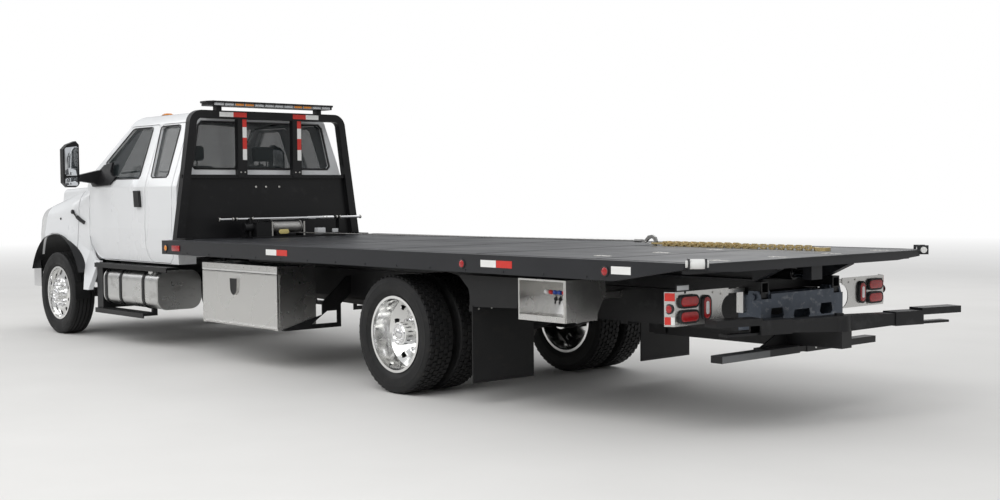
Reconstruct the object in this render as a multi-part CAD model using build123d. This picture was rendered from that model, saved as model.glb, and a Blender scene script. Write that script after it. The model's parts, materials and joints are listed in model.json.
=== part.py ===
from build123d import *
import os
from math import atan2, cos, degrees, hypot, pi, radians, sin

# Flatbed tow truck with a sliding and tilting steel deck, a wheel lift and an extended cab.
# Millimetres. While it is drawn, X is forward from the rear axle, Y is to the left and Z is up
# from the ground. On writing, everything moves so that the origin is below the middle of the whole.

# Driving dimensions
wheelbase = 6375
tyre_radius = 464
tyre_width = 255
rim_radius = 285.6
rim_width = 214
front_wheel_y = 1022
dual_inner_y = 767
dual_outer_y = 1087
stud_circle = 285.75
stud_count = 10

deck_length = 6706
deck_width = 2591
deck_top = 1124
deck_tail_x = -3132
deck_plate = 8
side_rail_height = 132
side_rail_width = 60

frame_width = 860
rail_height = 250
rail_flange = 75
rail_thick = 10
rail_top = 880
rail_rear_x = -2780
rail_front_x = 7050

tilt_axis_x = -2900
tilt_axis_z = 865
tilt_rail_y = 400
tilt_rail_width = 80

cab_rear_x = 3800
cab_bottom = 865
cab_half = 1015
belt_z = 1651
roof_z = 2445
door_thick = 70
glass_thick = 5
panel_gap = 12

boom_pivot_x = -1750
boom_pivot_z = 580
boom_size = 140
swivel_x = -3245
crossbar_half = 1037
crossbar_yaw = -14.2

bumper_front_x = wheelbase + 945
bumper_half = 1095
hood_hinge_x = wheelbase + 825
hood_hinge_z = 852
hood_pin_r = 9

# Named clearances
seat_gap = 0.3
run_gap = 0.05
glass_gap = 0.4

# Derived places
axle_z = tyre_radius
half_deck = deck_width / 2
deck_front_x = deck_tail_x + deck_length
frame_half = frame_width / 2
rail_bottom = rail_top - rail_height


# Ways of drawing a solid
def box(x0, x1, y0, y1, z0, z1):
    return Pos((x0 + x1) / 2, (y0 + y1) / 2, (z0 + z1) / 2) * Box(abs(x1 - x0), abs(y1 - y0), abs(z1 - z0))


def rod_x(y, z, r, x0, x1):
    return Pos((x0 + x1) / 2, y, z) * Rot(0, 90, 0) * Cylinder(r, abs(x1 - x0))


def rod_y(x, z, r, y0, y1):
    return Pos(x, (y0 + y1) / 2, z) * Rot(90, 0, 0) * Cylinder(r, abs(y1 - y0))


def rod_z(x, y, r, z0, z1):
    return Pos(x, y, (z0 + z1) / 2) * Cylinder(r, abs(z1 - z0))


def rod_between(a, b, r):
    a = Vector(*a)
    b = Vector(*b)
    return Plane(origin=(a + b) * 0.5, z_dir=b - a) * Cylinder(r, (b - a).length)


# An outline is a list of corners; an entry ("arc", middle, end) is a round stretch to its end
def face_of(outline, place):
    edges = []
    last = outline[0]
    for item in outline[1:] + [outline[0]]:
        if item[0] == "arc":
            edges.append(ThreePointArc(place(*last), place(*item[1]), place(*item[2])))
            last = item[2]
        elif item != last:
            edges.append(Line(place(*last), place(*item)))
            last = item
    return make_face(Wire(edges))


def side_prism(outline, y0, y1):
    return extrude(face_of(outline, lambda x, z: (x, y0, z)), amount=y1 - y0, dir=(0, 1, 0))


def plan_prism(outline, z0, z1):
    return extrude(face_of(outline, lambda x, y: (x, y, z0)), amount=z1 - z0, dir=(0, 0, 1))


def front_prism(outline, x0, x1):
    return extrude(face_of(outline, lambda y, z: (x0, y, z)), amount=x1 - x0, dir=(1, 0, 0))


def turned_y(profile, x, y, z):
    ring = revolve(face_of(profile, lambda a, r: (0, a, r)), axis=Axis.Y, revolution_arc=360)
    return Pos(x, y, z) * ring


def other_side(shape):
    return mirror(shape, about=Plane.XZ)


def both_sides(shape):
    return [shape, other_side(shape)]


def fuse(shapes):
    whole = shapes[0]
    for shape in shapes[1:]:
        whole = whole + shape
    return whole


nodes = {}


# Ladder frame: two channel rails, crossmembers, spring hangers and toolbox brackets
crossmember_low = 70
crossmember_high = 25
crossmember_places = [
    # x of the middle, width along x
    (rail_rear_x + 40, 80),
    (-1740, 80),
    (-330, 70),
    (1200, 60),
    (2450, 60),
    (3700, 60),
    (4700, 60),
]

toolbox_front_x = 2965
toolbox_rear_x = 1665
toolbox_inner_y = 800
toolbox_outer_y = 1200
toolbox_top = 930
toolbox_bottom = 378
toolbox_sheet = 8
toolbox_strip = 66
bracket_thick = 14


def rail():
    web = box(rail_rear_x, rail_front_x, frame_half - rail_thick, frame_half, rail_bottom, rail_top)
    low = box(rail_rear_x, rail_front_x, frame_half - rail_flange, frame_half,
              rail_bottom, rail_bottom + rail_thick)
    high = box(rail_rear_x, rail_front_x, frame_half - rail_flange, frame_half,
               rail_top - rail_thick, rail_top)
    return web + low + high


def crossmember(x, width):
    inner = frame_half - rail_thick
    z0 = rail_bottom + crossmember_low
    z1 = rail_top - crossmember_high
    solid = box(x - width / 2, x + width / 2, -inner, inner, z0, z1)
    hollow = box(x - width / 2 + rail_thick, x + width / 2 + 1, -inner + 70, inner - 70,
                 z0 + rail_thick, z1 - rail_thick)
    return solid - hollow


def toolbox_bracket(x, toward):
    """Plate across the rail at x; its shelf runs under the toolbox, toward = 1 for forward."""
    y0 = frame_half
    y1 = toolbox_outer_y - 60
    low = toolbox_bottom - bracket_thick - seat_gap
    outline = [(y0, rail_bottom + 30), (y0, rail_top - 60), (y0 + 40, rail_top - 60),
               (toolbox_inner_y - 60, low + 230), (toolbox_inner_y - 60, low + 120),
               (y1, low + bracket_thick), (y1, low), (toolbox_inner_y - 260, low),
               (toolbox_inner_y - 260, rail_bottom - 60)]
    plate = front_prism(outline, x, x + bracket_thick)
    window = [(toolbox_inner_y - 220, low + 40), (toolbox_inner_y + 60, low + 40),
              (toolbox_inner_y - 110, low + 150), (toolbox_inner_y - 220, low + 150)]
    middle = x + bracket_thick / 2
    shelf = box(middle, middle + toward * 60, toolbox_inner_y + 20, y1, low, low + bracket_thick)
    return plate - front_prism(window, x - 1, x + bracket_thick + 1) + shelf


rear_spring_y = 507
rear_spring_reach = 740
front_spring_y = 390
front_spring_reach = 640
spring_width = 76
hanger_thick = 16
rear_eye_z = 600
front_eye_z = 560
spring_pin_r = 14
hanger_half = 45
hanger_low = 560
front_hanger_low = 520
cab_puck_places = [3950, 4700, 5450]
cab_puck_r = 32


def build_frame():
    half = [rail()]
    half.append(toolbox_bracket(toolbox_rear_x - bracket_thick - seat_gap, 1))
    half.append(toolbox_bracket(toolbox_front_x + seat_gap, -1))
    for x in (-rear_spring_reach, rear_spring_reach):
        outer = rear_spring_y + spring_width / 2
        wide = (x - hanger_half, x + hanger_half)
        half.append(box(*wide, frame_half, outer + hanger_thick, rail_bottom + 20, rail_bottom + 40))
        half.append(box(*wide, outer + 1, outer + hanger_thick, hanger_low, rail_bottom + 40))
        half.append(box(*wide, frame_half, frame_half + 12, hanger_low, rail_bottom + 40))
        half.append(rod_y(x, rear_eye_z, spring_pin_r, frame_half + 12, outer + 1))
    for x in (wheelbase - front_spring_reach, wheelbase + front_spring_reach):
        inner = front_spring_y - spring_width / 2
        outer = front_spring_y + spring_width / 2
        wide = (x - hanger_half, x + hanger_half)
        half.append(box(*wide, outer + 1, outer + 12, front_hanger_low, rail_bottom))
        half.append(box(*wide, inner - 12, inner - 1, front_hanger_low, rail_bottom))
        half.append(rod_y(x, front_eye_z, spring_pin_r, inner - 1, outer + 1))
    # Bumper horn
    half.append(box(rail_front_x - 60, bumper_front_x - bumper_sheet - seat_gap, frame_half - 60, frame_half,
                    rail_bottom, rail_bottom + 130))
    # Cab mount pucks
    for x in cab_puck_places:
        half.append(rod_z(x, frame_half - rail_flange / 2, cab_puck_r, rail_top, cab_floor_low))
    left = fuse(half)
    whole = left + other_side(left)
    for x, width in crossmember_places:
        whole += crossmember(x, width)
    whole += box(rail_front_x - 90, rail_front_x - 10, -frame_half + rail_thick, frame_half - rail_thick,
                 rail_bottom + 20, rail_bottom + 80)
    return whole


bumper_sheet = 12
cab_floor_low = 935
cab_floor_high = 1000


# Engine, gearbox, drive shaft and exhaust: plain heavy masses at their real places
exhaust_z = 515


def build_powertrain():
    engine = box(5960, 6850, -300, 300, 640, 1350)
    gearbox = box(5250, 5960, -190, 190, 500, 850)
    radiator = box(6962, 7040, -340, 340, 720, 1330)
    fan_shaft = rod_x(0, 900, 40, 6850, 6962)
    shaft = rod_between((5250, 0, 640), (350, 0, 500), 48)
    flange = rod_between((470, 0, 503.5), (350, 0, 500), 75)
    exhaust = rod_x(-560, exhaust_z, 105, 4300, 5150) + rod_x(-560, exhaust_z, 42, 3250, 4301)
    exhaust += rod_between((5149, -560, exhaust_z), (5600, -270, exhaust_z + 20), 42)
    exhaust += rod_between((5600, -270, exhaust_z + 20), (5990, -250, 700), 42)
    exhaust += Pos(5600, -270, exhaust_z + 20) * Sphere(42)
    for x in (4400, 5000):
        exhaust += box(x, x + 40, -frame_half - 50, -frame_half - seat_gap, exhaust_z + 30, rail_bottom + 60)
    web = frame_half - rail_thick - seat_gap
    for x, half, z in ((6330, 300, 700), (5500, 190, 720)):
        engine += box(x, x + 80, -web, web, z, z + 60) - box(x - 1, x + 81, -half + 10, half - 10, z - 1, z + 61)
    return engine + gearbox + radiator + fan_shaft + shaft + flange + exhaust


# Axles with their leaf springs
kingpin_y = 900
kingpin_low = 385
kingpin_high = 545


def leaf_spring(x, y, reach, eye_z, seat_z, leaves):
    top = [(x - reach, eye_z - 14), ("arc", (x, seat_z), (x + reach, eye_z - 14)),
           (x + reach, eye_z - 26), ("arc", (x, seat_z - 12), (x - reach, eye_z - 26))]
    parts = [side_prism(top, y - spring_width / 2, y + spring_width / 2)]
    for i in range(1, leaves):
        length = reach * (1 - i / (leaves + 1))
        rise = (eye_z - 14 - seat_z) * (length / reach) ** 2
        z = seat_z - 12 * i
        leaf = [(x - length, z + rise), ("arc", (x, z), (x + length, z + rise)),
                (x + length, z + rise - 12), ("arc", (x, z - 12), (x - length, z + rise - 12))]
        parts.append(side_prism(leaf, y - spring_width / 2, y + spring_width / 2))
    for side in (-1, 1):
        eye = rod_y(x + side * reach, eye_z, spring_pin_r * 2, y - spring_width / 2, y + spring_width / 2)
        parts.append(eye)
    spring = fuse(parts)
    for side in (-1, 1):
        spring -= rod_y(x + side * reach, eye_z, spring_pin_r + run_gap, y - spring_width, y + spring_width)
    return spring


def build_front_axle():
    beam = [(-kingpin_y, 425), (-kingpin_y, 500), (-620, 500), (-520, 440), (520, 440), (620, 500),
            (kingpin_y, 500), (kingpin_y, 425), (600, 425), (500, 365), (-500, 365), (-600, 425)]
    axle = front_prism(beam, wheelbase - 38, wheelbase + 38)
    for side in (-1, 1):
        axle += rod_z(wheelbase, side * kingpin_y, 46, kingpin_low + 40, kingpin_high - 40)
        axle += leaf_spring(wheelbase, side * front_spring_y, front_spring_reach, front_eye_z, 505, 4)
        axle += box(wheelbase - 60, wheelbase + 60, side * (front_spring_y - 45), side * (front_spring_y + 45),
                    430, 470)
    for side in (-1, 1):
        axle -= rod_z(wheelbase, side * kingpin_y, 22 + run_gap, 300, 700)
    return axle


def build_rear_axle():
    tube = rod_y(0, axle_z, 65, -600, 600)
    spindle = rod_y(0, axle_z, 45, -dual_outer_y, dual_outer_y)
    bowl = rod_x(0, axle_z, 190, -130, 110)
    cover = Pos(-130, 0, axle_z) * Sphere(160) & box(-240, -100, -200, 200, axle_z - 200, axle_z + 200)
    nose = rod_x(0, axle_z + 35, 80, 100, 340)
    axle = tube + spindle + bowl + cover + nose
    for side in (-1, 1):
        axle += leaf_spring(0, side * rear_spring_y, rear_spring_reach, rear_eye_z, 585, 6)
        axle += box(-70, 70, side * (rear_spring_y - 45), side * (rear_spring_y + 45), 440, 520)
    return axle


# Knuckles, hubs, wheels and tyres
def build_knuckle():
    y = kingpin_y
    high = box(wheelbase - 45, wheelbase + 45, y - 20, y + 95, kingpin_high - 40 + seat_gap, kingpin_high)
    low = box(wheelbase - 45, wheelbase + 45, y - 20, y + 95, kingpin_low, kingpin_low + 40 - seat_gap)
    pin = rod_z(wheelbase, y, 22, kingpin_low, kingpin_high)
    plate = box(wheelbase - 60, wheelbase + 60, y + 70, y + 95, kingpin_low, kingpin_high)
    drum = rod_y(wheelbase, axle_z, 200, y + 85, y + 105)
    spindle = rod_y(wheelbase, axle_z, 34, y + 95, front_wheel_y + 95)
    arm = plan_prism([(wheelbase + 20, y + 10), (wheelbase + 20, y + 60), (wheelbase - 60, y + 60),
                      (wheelbase - 185, y), (wheelbase - 185, y - 60), (wheelbase - 135, y - 60)],
                     kingpin_low, kingpin_low + 22)
    return high + low + pin + plate + drum + spindle + arm


tie_rod_x = wheelbase - 160


def build_tie_rod():
    z0 = kingpin_low + 22 + seat_gap
    rod = rod_y(tie_rod_x, z0 + 15, 14, -kingpin_y + 30, kingpin_y - 30)
    for side in (-1, 1):
        rod += rod_z(tie_rod_x, side * (kingpin_y - 30), 26, z0, z0 + 30)
    return rod


def tyre_ring(x, y, z):
    half = tyre_width / 2
    seat = rim_radius + glass_gap
    bead = rim_width / 2 - 13
    profile = [(-bead, seat), (-bead, seat + 16), (-half + 14, seat + 34),
               ("arc", (-half, seat + 90), (-half + 10, tyre_radius - 26)),
               (-half + 32, tyre_radius - 4), ("arc", (0, tyre_radius), (half - 32, tyre_radius - 4)),
               (half - 10, tyre_radius - 26),
               ("arc", (half, seat + 90), (half - 14, seat + 34)), (bead, seat + 16), (bead, seat)]
    return turned_y(profile, x, y, z)


def wheel_disc(x, y, z, disc_y, bulge, hub_radius):
    """Rim ring with its disc at disc_y from the middle; bulge is how far its hub stands out of it."""
    half = rim_width / 2
    side = 1 if bulge >= 0 else -1
    ring = [(-half, rim_radius + 15), (-half, rim_radius - 6), (-half + 22, rim_radius - 12),
            (half - 22, rim_radius - 12), (half, rim_radius - 6), (half, rim_radius + 15),
            (half - 11, rim_radius + 15), (half - 12, rim_radius), (-half + 12, rim_radius),
            (-half + 11, rim_radius + 15)]
    wheel = turned_y(ring, x, y, z)
    a = disc_y
    b = disc_y + bulge * 0.45
    disc = [(a - 6, rim_radius - 8), (a + 6, rim_radius - 8), (b + 6, 185), (b + 6, hub_radius - 1),
            (b - 6, hub_radius - 1), (b - 6, 185)]
    wheel += turned_y(disc, x, y, z)
    face = y + b + side * 6
    for i in range(stud_count):
        angle = 2 * pi * i / stud_count
        hand = 2 * pi * (i + 0.5) / stud_count
        wheel -= rod_y(x + 228 * cos(hand), z + 228 * sin(hand), 27, y - half - 1, y + half + 1)
        nut = rod_y(x + stud_circle / 2 * cos(angle), z + stud_circle / 2 * sin(angle), 16,
                    face - side * 4, face + side * 30)
        wheel += nut
    return wheel, y + b


def build_front_rim():
    wheel, face = wheel_disc(wheelbase, front_wheel_y, axle_z, 52, 66, 108)
    back = kingpin_y + 105 + seat_gap
    hub = rod_y(wheelbase, axle_z, 112, back + 18, face + 6)
    hub += rod_y(wheelbase, axle_z, 78, back, face + 58)
    hub -= rod_y(wheelbase, axle_z, 34 + run_gap, back - 1, front_wheel_y + 95 + seat_gap)
    return wheel + hub


def build_rear_rims():
    outer, outer_face = wheel_disc(0, dual_outer_y, axle_z, -60, -180, 118)
    inner, inner_face = wheel_disc(0, dual_inner_y, axle_z, 60, 180, 118)
    hub = rod_y(0, axle_z, 122, inner_face - 12, outer_face + 12)
    hub += rod_y(0, axle_z, 92, 612, dual_outer_y + 62)
    hub -= rod_y(0, axle_z, 45 + run_gap, 600, dual_outer_y + seat_gap)
    return outer + inner + hub


# Cab: one section seen from the front and one outline seen from the side, cut from each other
def cab_section(inset, drop):
    y_low = cab_half - 30 - inset
    y_mid = cab_half - inset
    y_belt = cab_half - 8 - inset
    y_sill = cab_half - 38 - inset
    y_roof = 800 - inset
    top = roof_z - drop
    side = [(y_low, 700), (y_mid, 1217), (y_belt, belt_z), (y_sill, 1755), (y_roof, 2290 - drop * 0.4),
            ("arc", (y_roof - 32, 2362 - drop), (y_roof - 150, top - 45)),
            ("arc", (0, top), (-y_roof + 150, top - 45)),
            ("arc", (-y_roof + 32, 2362 - drop), (-y_roof, 2290 - drop * 0.4)),
            (-y_sill, 1755), (-y_belt, belt_z), (-y_mid, 1217), (-y_low, 700)]
    return front_prism(side, cab_rear_x - 100, wheelbase)


windscreen_foot = (5940, 1690)
windscreen_head = (5085, 2372)
firewall_x = 5850


def cab_outline(inset, bottom):
    """Side outline, with the rear wall, roof, windscreen and firewall moved in by inset."""
    rear = cab_rear_x + inset
    foot_x, foot_z = windscreen_foot
    head_x, head_z = windscreen_head
    return [(rear, bottom), (rear, 1900), (rear + 25, 2290 - inset),
            ("arc", (rear + 70, 2390 - inset), (rear + 190, 2430 - inset)),
            (4700, 2450 - inset), ("arc", (4920, 2430 - inset), (head_x - inset, head_z - inset * 0.6)),
            (foot_x - inset * 1.4, foot_z - inset * 0.4), (foot_x + 20 - inset * 1.4, foot_z - 40 - inset * 0.4),
            (firewall_x - inset, 1560 - inset * 0.4), (firewall_x - inset, bottom)]


def cab_solid(inset, drop, bottom):
    return cab_section(inset, drop) & side_prism(cab_outline(inset, bottom), -1300, 1300)


door_front_x = 5774
door_split_x = 4476
door_rear_x = 3905
door_top = 2296


def front_door_outline(grow):
    """Seen from the left; grow moves every edge out."""
    g = grow
    return [(door_front_x + g, belt_z + 60), (door_front_x + g, 1130),
            ("arc", (5690, 965 - g), (5470, cab_bottom + 12 - g)), (door_split_x - 145 - g, cab_bottom + 12 - g),
            ("arc", (door_split_x - 25 - g, 960), (door_split_x - g, 1120)),
            (door_split_x - g, door_top - 60), ("arc", (door_split_x + 22 - g, door_top - 22 + g * 0.7),
                                              (door_split_x + 70, door_top + g)),
            (5060, door_top + g), ("arc", (5110, door_top - 6 + g), (5150, door_top - 35 + g))]


def rear_door_outline(grow):
    g = grow
    s = door_split_x - panel_gap
    return [(s + g, door_top - 60), (s + g, 1120), ("arc", (s - 25 + g, 960), (s - 145 + g, cab_bottom + 12 - g)),
            (door_rear_x + 60 - g, cab_bottom + 12 - g), (door_rear_x - g, cab_bottom + 72),
            (door_rear_x - g, door_top - 60), ("arc", (door_rear_x + 22 - g, door_top - 18 + g * 0.7),
                                               (door_rear_x + 70, door_top + g)),
            (s - 60, door_top + g), ("arc", (s - 18 + g, door_top - 18 + g * 0.7), (s + g, door_top - 60))]


front_window = [(5500, 1925), ("arc", (5405, 1760), (5165, 1745)), (4660, 1745), (4640, 1770), (4640, 2240),
                (4680, 2268), (5020, 2268), ("arc", (5070, 2262), (5110, 2238))]
rear_window = [(4380, 1765), (4350, 1750), (4060, 1750), (4035, 1775), (4048, 2240), (4085, 2270),
               (4420, 2270), (4452, 2240)]
windscreen_window = [(-850, 1770), (850, 1770), (705, 2300), ("arc", (0, 2345), (-705, 2300))]
back_window = [(-820, 1862), (-795, 1835), (795, 1835), (820, 1862), (738, 2262), (700, 2298), (-700, 2298),
               (-738, 2262)]


def grown(outline, grow):
    """The same closed outline, moved out from its middle by grow."""
    corners = [item if item[0] != "arc" else item[2] for item in outline]
    mid_a = sum(c[0] for c in corners) / len(corners)
    mid_b = sum(c[1] for c in corners) / len(corners)
    half_a = max(abs(c[0] - mid_a) for c in corners)
    half_b = max(abs(c[1] - mid_b) for c in corners)

    def move(point):
        return (mid_a + (point[0] - mid_a) * (1 + grow / half_a), mid_b + (point[1] - mid_b) * (1 + grow / half_b))

    result = []
    for item in outline:
        result.append(("arc", move(item[1]), move(item[2])) if item[0] == "arc" else move(item))
    return result


glass_depth = 24
glass_lap = 16


def pane_and_groove(cover, window, low, high):
    """Pane of the skin's own shape, set in a groove round a window that is drawn from one side."""
    pane = cover(glass_depth, glass_depth + glass_thick) & low(grown(window, glass_lap - glass_gap * 2), high)
    groove = cover(glass_depth - glass_gap, glass_depth + glass_thick + glass_gap)
    groove = groove & low(grown(window, glass_lap), high)
    return pane, groove


outer_cab = cab_solid(0, 0, cab_bottom)


def side_skin(depth_out, depth_in):
    """Layer of the cab's side between two depths below its surface."""
    outer = cab_solid(depth_out, depth_out * 0.3, cab_bottom - 60)
    return outer - cab_solid(depth_in, depth_in * 0.3, cab_bottom - 90)


hinge_pin_r = 3.5
hinge_knuckle_r = 7
hinge_fore = 2
hinge_y = 1007
hinge_heights = [1160, 1480]
knuckle_half = 26
hinge_half = 46
knuckle_room = 2


def hinge_x_beside(edge_x, direction):
    """Vertical door hinge axis just outside the door's edge; direction is the way from that edge into the door."""
    return edge_x - direction * hinge_fore


def make_door(outline, window, edge_x, direction):
    """One door: the cab's side cut to the outline, with its window, hinge pockets and pin bores."""
    skin = side_skin(0, door_thick) & side_prism(outline(0), 700, 1300)
    hole = side_prism(window, 600, 1300)
    pane, groove = pane_and_groove(side_skin, window, lambda w, y: side_prism(w, 600, y), 1300)
    door = skin - hole - groove
    hinge_x = hinge_x_beside(edge_x, direction)
    for z in hinge_heights:
        door -= rod_z(hinge_x, hinge_y, hinge_knuckle_r + knuckle_room, z - hinge_half - 4, z + hinge_half + 4)
        door += rod_z(hinge_x, hinge_y, hinge_knuckle_r, z - knuckle_half, z + knuckle_half)
        leaf_x = hinge_x + direction * 16
        door += box(hinge_x, leaf_x, hinge_y - 6, hinge_y + 2, z - knuckle_half, z + knuckle_half)
        door -= rod_z(hinge_x, hinge_y, hinge_pin_r + run_gap, z - hinge_half, z + hinge_half)
    return door, pane


def door_hinges(edge_x, direction):
    """Pins of one door, each held by two knuckles on the pillar above and below the door's own."""
    hinge_x = hinge_x_beside(edge_x, direction)
    parts = []
    for z in hinge_heights:
        parts.append(rod_z(hinge_x, hinge_y, hinge_pin_r, z - hinge_half, z + hinge_half))
        for z0, z1 in ((z - hinge_half, z - knuckle_half - seat_gap), (z + knuckle_half + seat_gap, z + hinge_half)):
            parts.append(rod_z(hinge_x, hinge_y, hinge_knuckle_r, z0, z1))
            parts.append(box(hinge_x, hinge_x - direction * 24, hinge_y - 6, hinge_y + 2, z0, z1))
    return fuse(parts)


def build_cab():
    hollow = cab_solid(55, 45, cab_floor_high)
    shell = outer_cab - hollow
    shell -= box(cab_rear_x - 10, wheelbase, -cab_sill_y, cab_sill_y, cab_bottom - 10, cab_floor_low)
    # The skin ahead of the front door belongs to the panel behind the hood
    ahead = [(5452, 700), (wheelbase, 700), (wheelbase, 1800), (door_front_x, 1800), (door_front_x, 1130),
             ("arc", (5690, 965), (5470, cab_bottom + 12)), (5452, cab_bottom + 12)]
    ahead_solid = side_prism(ahead, 950, 1100)
    shell -= ahead_solid
    shell -= other_side(ahead_solid)
    # Door openings, windscreen and back window
    gap = panel_gap / 2
    openings = side_prism(front_door_outline(gap), 0, 1300) + side_prism(rear_door_outline(gap), 0, 1300)
    openings += side_prism([(door_rear_x - panel_gap, cab_bottom + 66), (door_rear_x + 5, cab_bottom + 66),
                            (door_rear_x + 5, door_top - 60), (door_rear_x - panel_gap, door_top - 60)], 0, 1300)
    ring = side_skin(-20, door_thick + 6)
    cut = openings & ring
    shell -= cut
    shell -= other_side(cut)
    shell -= front_prism(windscreen_window, 5000, wheelbase)
    shell -= front_prism(back_window, cab_rear_x - 50, cab_rear_x + 120)
    for layer_cut in glass_grooves():
        shell -= layer_cut
    for edge_x, direction in ((door_front_x, -1), (door_rear_x, 1)):
        strap = door_hinges(edge_x, direction)
        shell += strap
        shell += other_side(strap)
    panel = build_cowl_panel()
    return shell + panel + other_side(panel)


cab_sill_y = 800


def end_layer(out, deep):
    return cab_solid(out, out * 0.4, 1100) - cab_solid(deep, deep * 0.4, 1000)


def glass_grooves():
    _, front = pane_and_groove(end_layer, windscreen_window, lambda w, x: front_prism(w, 4950, x), wheelbase)
    _, back = pane_and_groove(end_layer, back_window, lambda w, x: front_prism(w, cab_rear_x - 10, x),
                              cab_rear_x + 80)
    return front, back


def build_cab_glass():
    front, _ = pane_and_groove(end_layer, windscreen_window, lambda w, x: front_prism(w, 4950, x), wheelbase)
    back, _ = pane_and_groove(end_layer, back_window, lambda w, x: front_prism(w, cab_rear_x - 10, x),
                              cab_rear_x + 80)
    return front, back


# Seats, dashboard and steering wheel
def seat(x, y, width):
    z = cab_floor_high
    base = box(x - 230, x + 230, y - width / 2, y + width / 2, z + 180, z + 320)
    back = side_prism([(x - 200, z + 300), (x - 90, z + 320), (x - 160, z + 900), (x - 270, z + 890)],
                      y - width / 2, y + width / 2)
    head = box(x - 285, x - 200, y - 130, y + 130, z + 920, z + 1090)
    stem = box(x - 250, x - 230, y - 60, y + 60, z + 880, z + 930)
    foot = box(x - 180, x + 180, y - width / 2 + 60, y + width / 2 - 60, z, z + 180)
    return base + back + head + stem + foot


def build_interior():
    parts = []
    for y in (-430, 430):
        parts.append(seat(4750, y, 520))
    bench = box(3900, 4230, -800, 800, cab_floor_high, cab_floor_high + 330)
    return parts, bench


def build_dash():
    outline = [(5780, 1130), (5780, 1560), (5700, 1640), (5500, 1600), (5420, 1500), (5440, 1300), (5560, 1130)]
    dash = side_prism(outline, -860, 860)
    column = rod_between((5520, 430, 1380), (5290, 430, 1520), 26)
    rim = Plane(origin=(5270, 430, 1532), z_dir=(-230, 0, 140)) * Torus(205, 15)
    hub = Plane(origin=(5275, 430, 1529), z_dir=(-230, 0, 140)) * Cylinder(60, 36)
    spoke = Plane(origin=(5272, 430, 1531), z_dir=(-230, 0, 140)) * Box(30, 400, 14)
    leg = box(5600, 5700, -120, 120, cab_floor_high, 1140)
    return dash + column + rim + hub + spoke + leg


# Hood with fenders: ruled lofts through few front sections
hood_sheet = 25
hood_rear_x = 5952
cowl_x = 5988
cowl_half = 953
hood_stations = [
    # x, half width low, half width at the crease, z of the crease, half width wide, z wide, half width of the top,
    # z of the top
    (5440, 1175, 1015, 950, 1012, 1500, 965, 1646),
    (door_front_x + panel_gap, 1175, 1015, 950, 1012, 1500, 965, 1646),
    (6080, 1180, 1135, 1130, 1100, 1300, 985, 1590),
    (6600, 1185, 1180, 1130, 1150, 1300, 1005, 1474),
    (7000, 1060, 1056, 1130, 1034, 1280, 940, 1420),
    (7160, 992, 988, 1130, 974, 1270, 885, 1380),
    (7250, 900, 895, 1130, 885, 1250, 800, 1340),
]
ridge_stations = [
    # x, half width at the foot, half width of the top, z of the top
    (5990, 955, 880, 1660),
    (6780, 900, 820, 1640),
    (7060, 760, 640, 1560),
    (7215, 640, 500, 1440),
]
fender_low = 540
nose_low = 887


def hood_face(station, shift, inset, bottom):
    x, y_low, y_crease, crease_z, y_wide, z_wide, y_top, z_top = station
    d = inset
    mid = ((y_wide + y_top) / 2 + (y_wide - y_top) * 0.16 - d, (z_wide + z_top) / 2 + (z_top - z_wide) * 0.16 - d)
    outline = [(y_low - d, bottom), (y_crease - d, crease_z), (y_wide - d, z_wide - d),
               ("arc", mid, (y_top - d, z_top - d)), (-y_top + d, z_top - d),
               ("arc", (-mid[0], mid[1]), (-y_wide + d, z_wide - d)), (-y_crease + d, crease_z),
               (-y_low + d, bottom)]
    return face_of(outline, lambda y, z: (x - shift, y, z))


def ridge_face(station, shift, inset):
    x, y_foot, y_top, z_top = station
    d = inset
    outline = [(y_foot - d, 1250 - d), (y_top + 40 - d, z_top - 40 - d),
               ("arc", (y_top + 20 - d, z_top - 12 - d), (y_top - 30 - d, z_top - d)),
               (-y_top + 30 + d, z_top - d),
               ("arc", (-y_top - 20 + d, z_top - 12 - d), (-y_top - 40 + d, z_top - 40 - d)),
               (-y_foot + d, 1250 - d)]
    return face_of(outline, lambda y, z: (x - shift, y, z))


def hood_body(inset, bottom):
    last = len(hood_stations) - 1
    faces = []
    for i, station in enumerate(hood_stations):
        faces.append(hood_face(station, inset if i in (0, last) else 0, inset, bottom))
    return loft(faces, ruled=True)


def ridge_body(inset):
    last = len(ridge_stations) - 1
    faces = []
    for i, station in enumerate(ridge_stations):
        faces.append(ridge_face(station, inset if i in (0, last) else 0, inset))
    return loft(faces, ruled=True)


def front_skin():
    """Sheet of the hood, its fenders and the panels behind them, in one piece."""
    outer = hood_body(0, fender_low) + ridge_body(0)
    return outer - hood_body(hood_sheet, fender_low - 100) - ridge_body(hood_sheet)


arch_radius = 668
arch_outline = [(5560, 400), (5622, fender_low), (5800, 808),
                ("arc", (wheelbase - 472, axle_z + 472), (wheelbase, axle_z + arch_radius)),
                ("arc", (wheelbase + 300, axle_z + 597), (wheelbase + 517, nose_low)), (7300, nose_low), (7300, 400)]


def build_cowl_panel():
    """Fixed panel between the left door and the hood, with the fender's tail under the door."""
    rear = door_front_x + panel_gap
    front = hood_rear_x - panel_gap
    outline = [(front, 1700), (rear, 1700), (rear, 1130), ("arc", (5708, 948), (5478, 856)), (5458, 854),
               (5458, 840), (5500, 800), (5500, fender_low - 1), (front, fender_low - 1)]
    zone = side_prism(outline, cowl_half, 1300) - side_prism(arch_outline, 0, 1400)
    panel = skin_solid & zone
    rib = hood_body(5, fender_low) & box(firewall_x - 50, firewall_x - 36, 925, 1300, 880, 1560)
    return panel + rib


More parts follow.
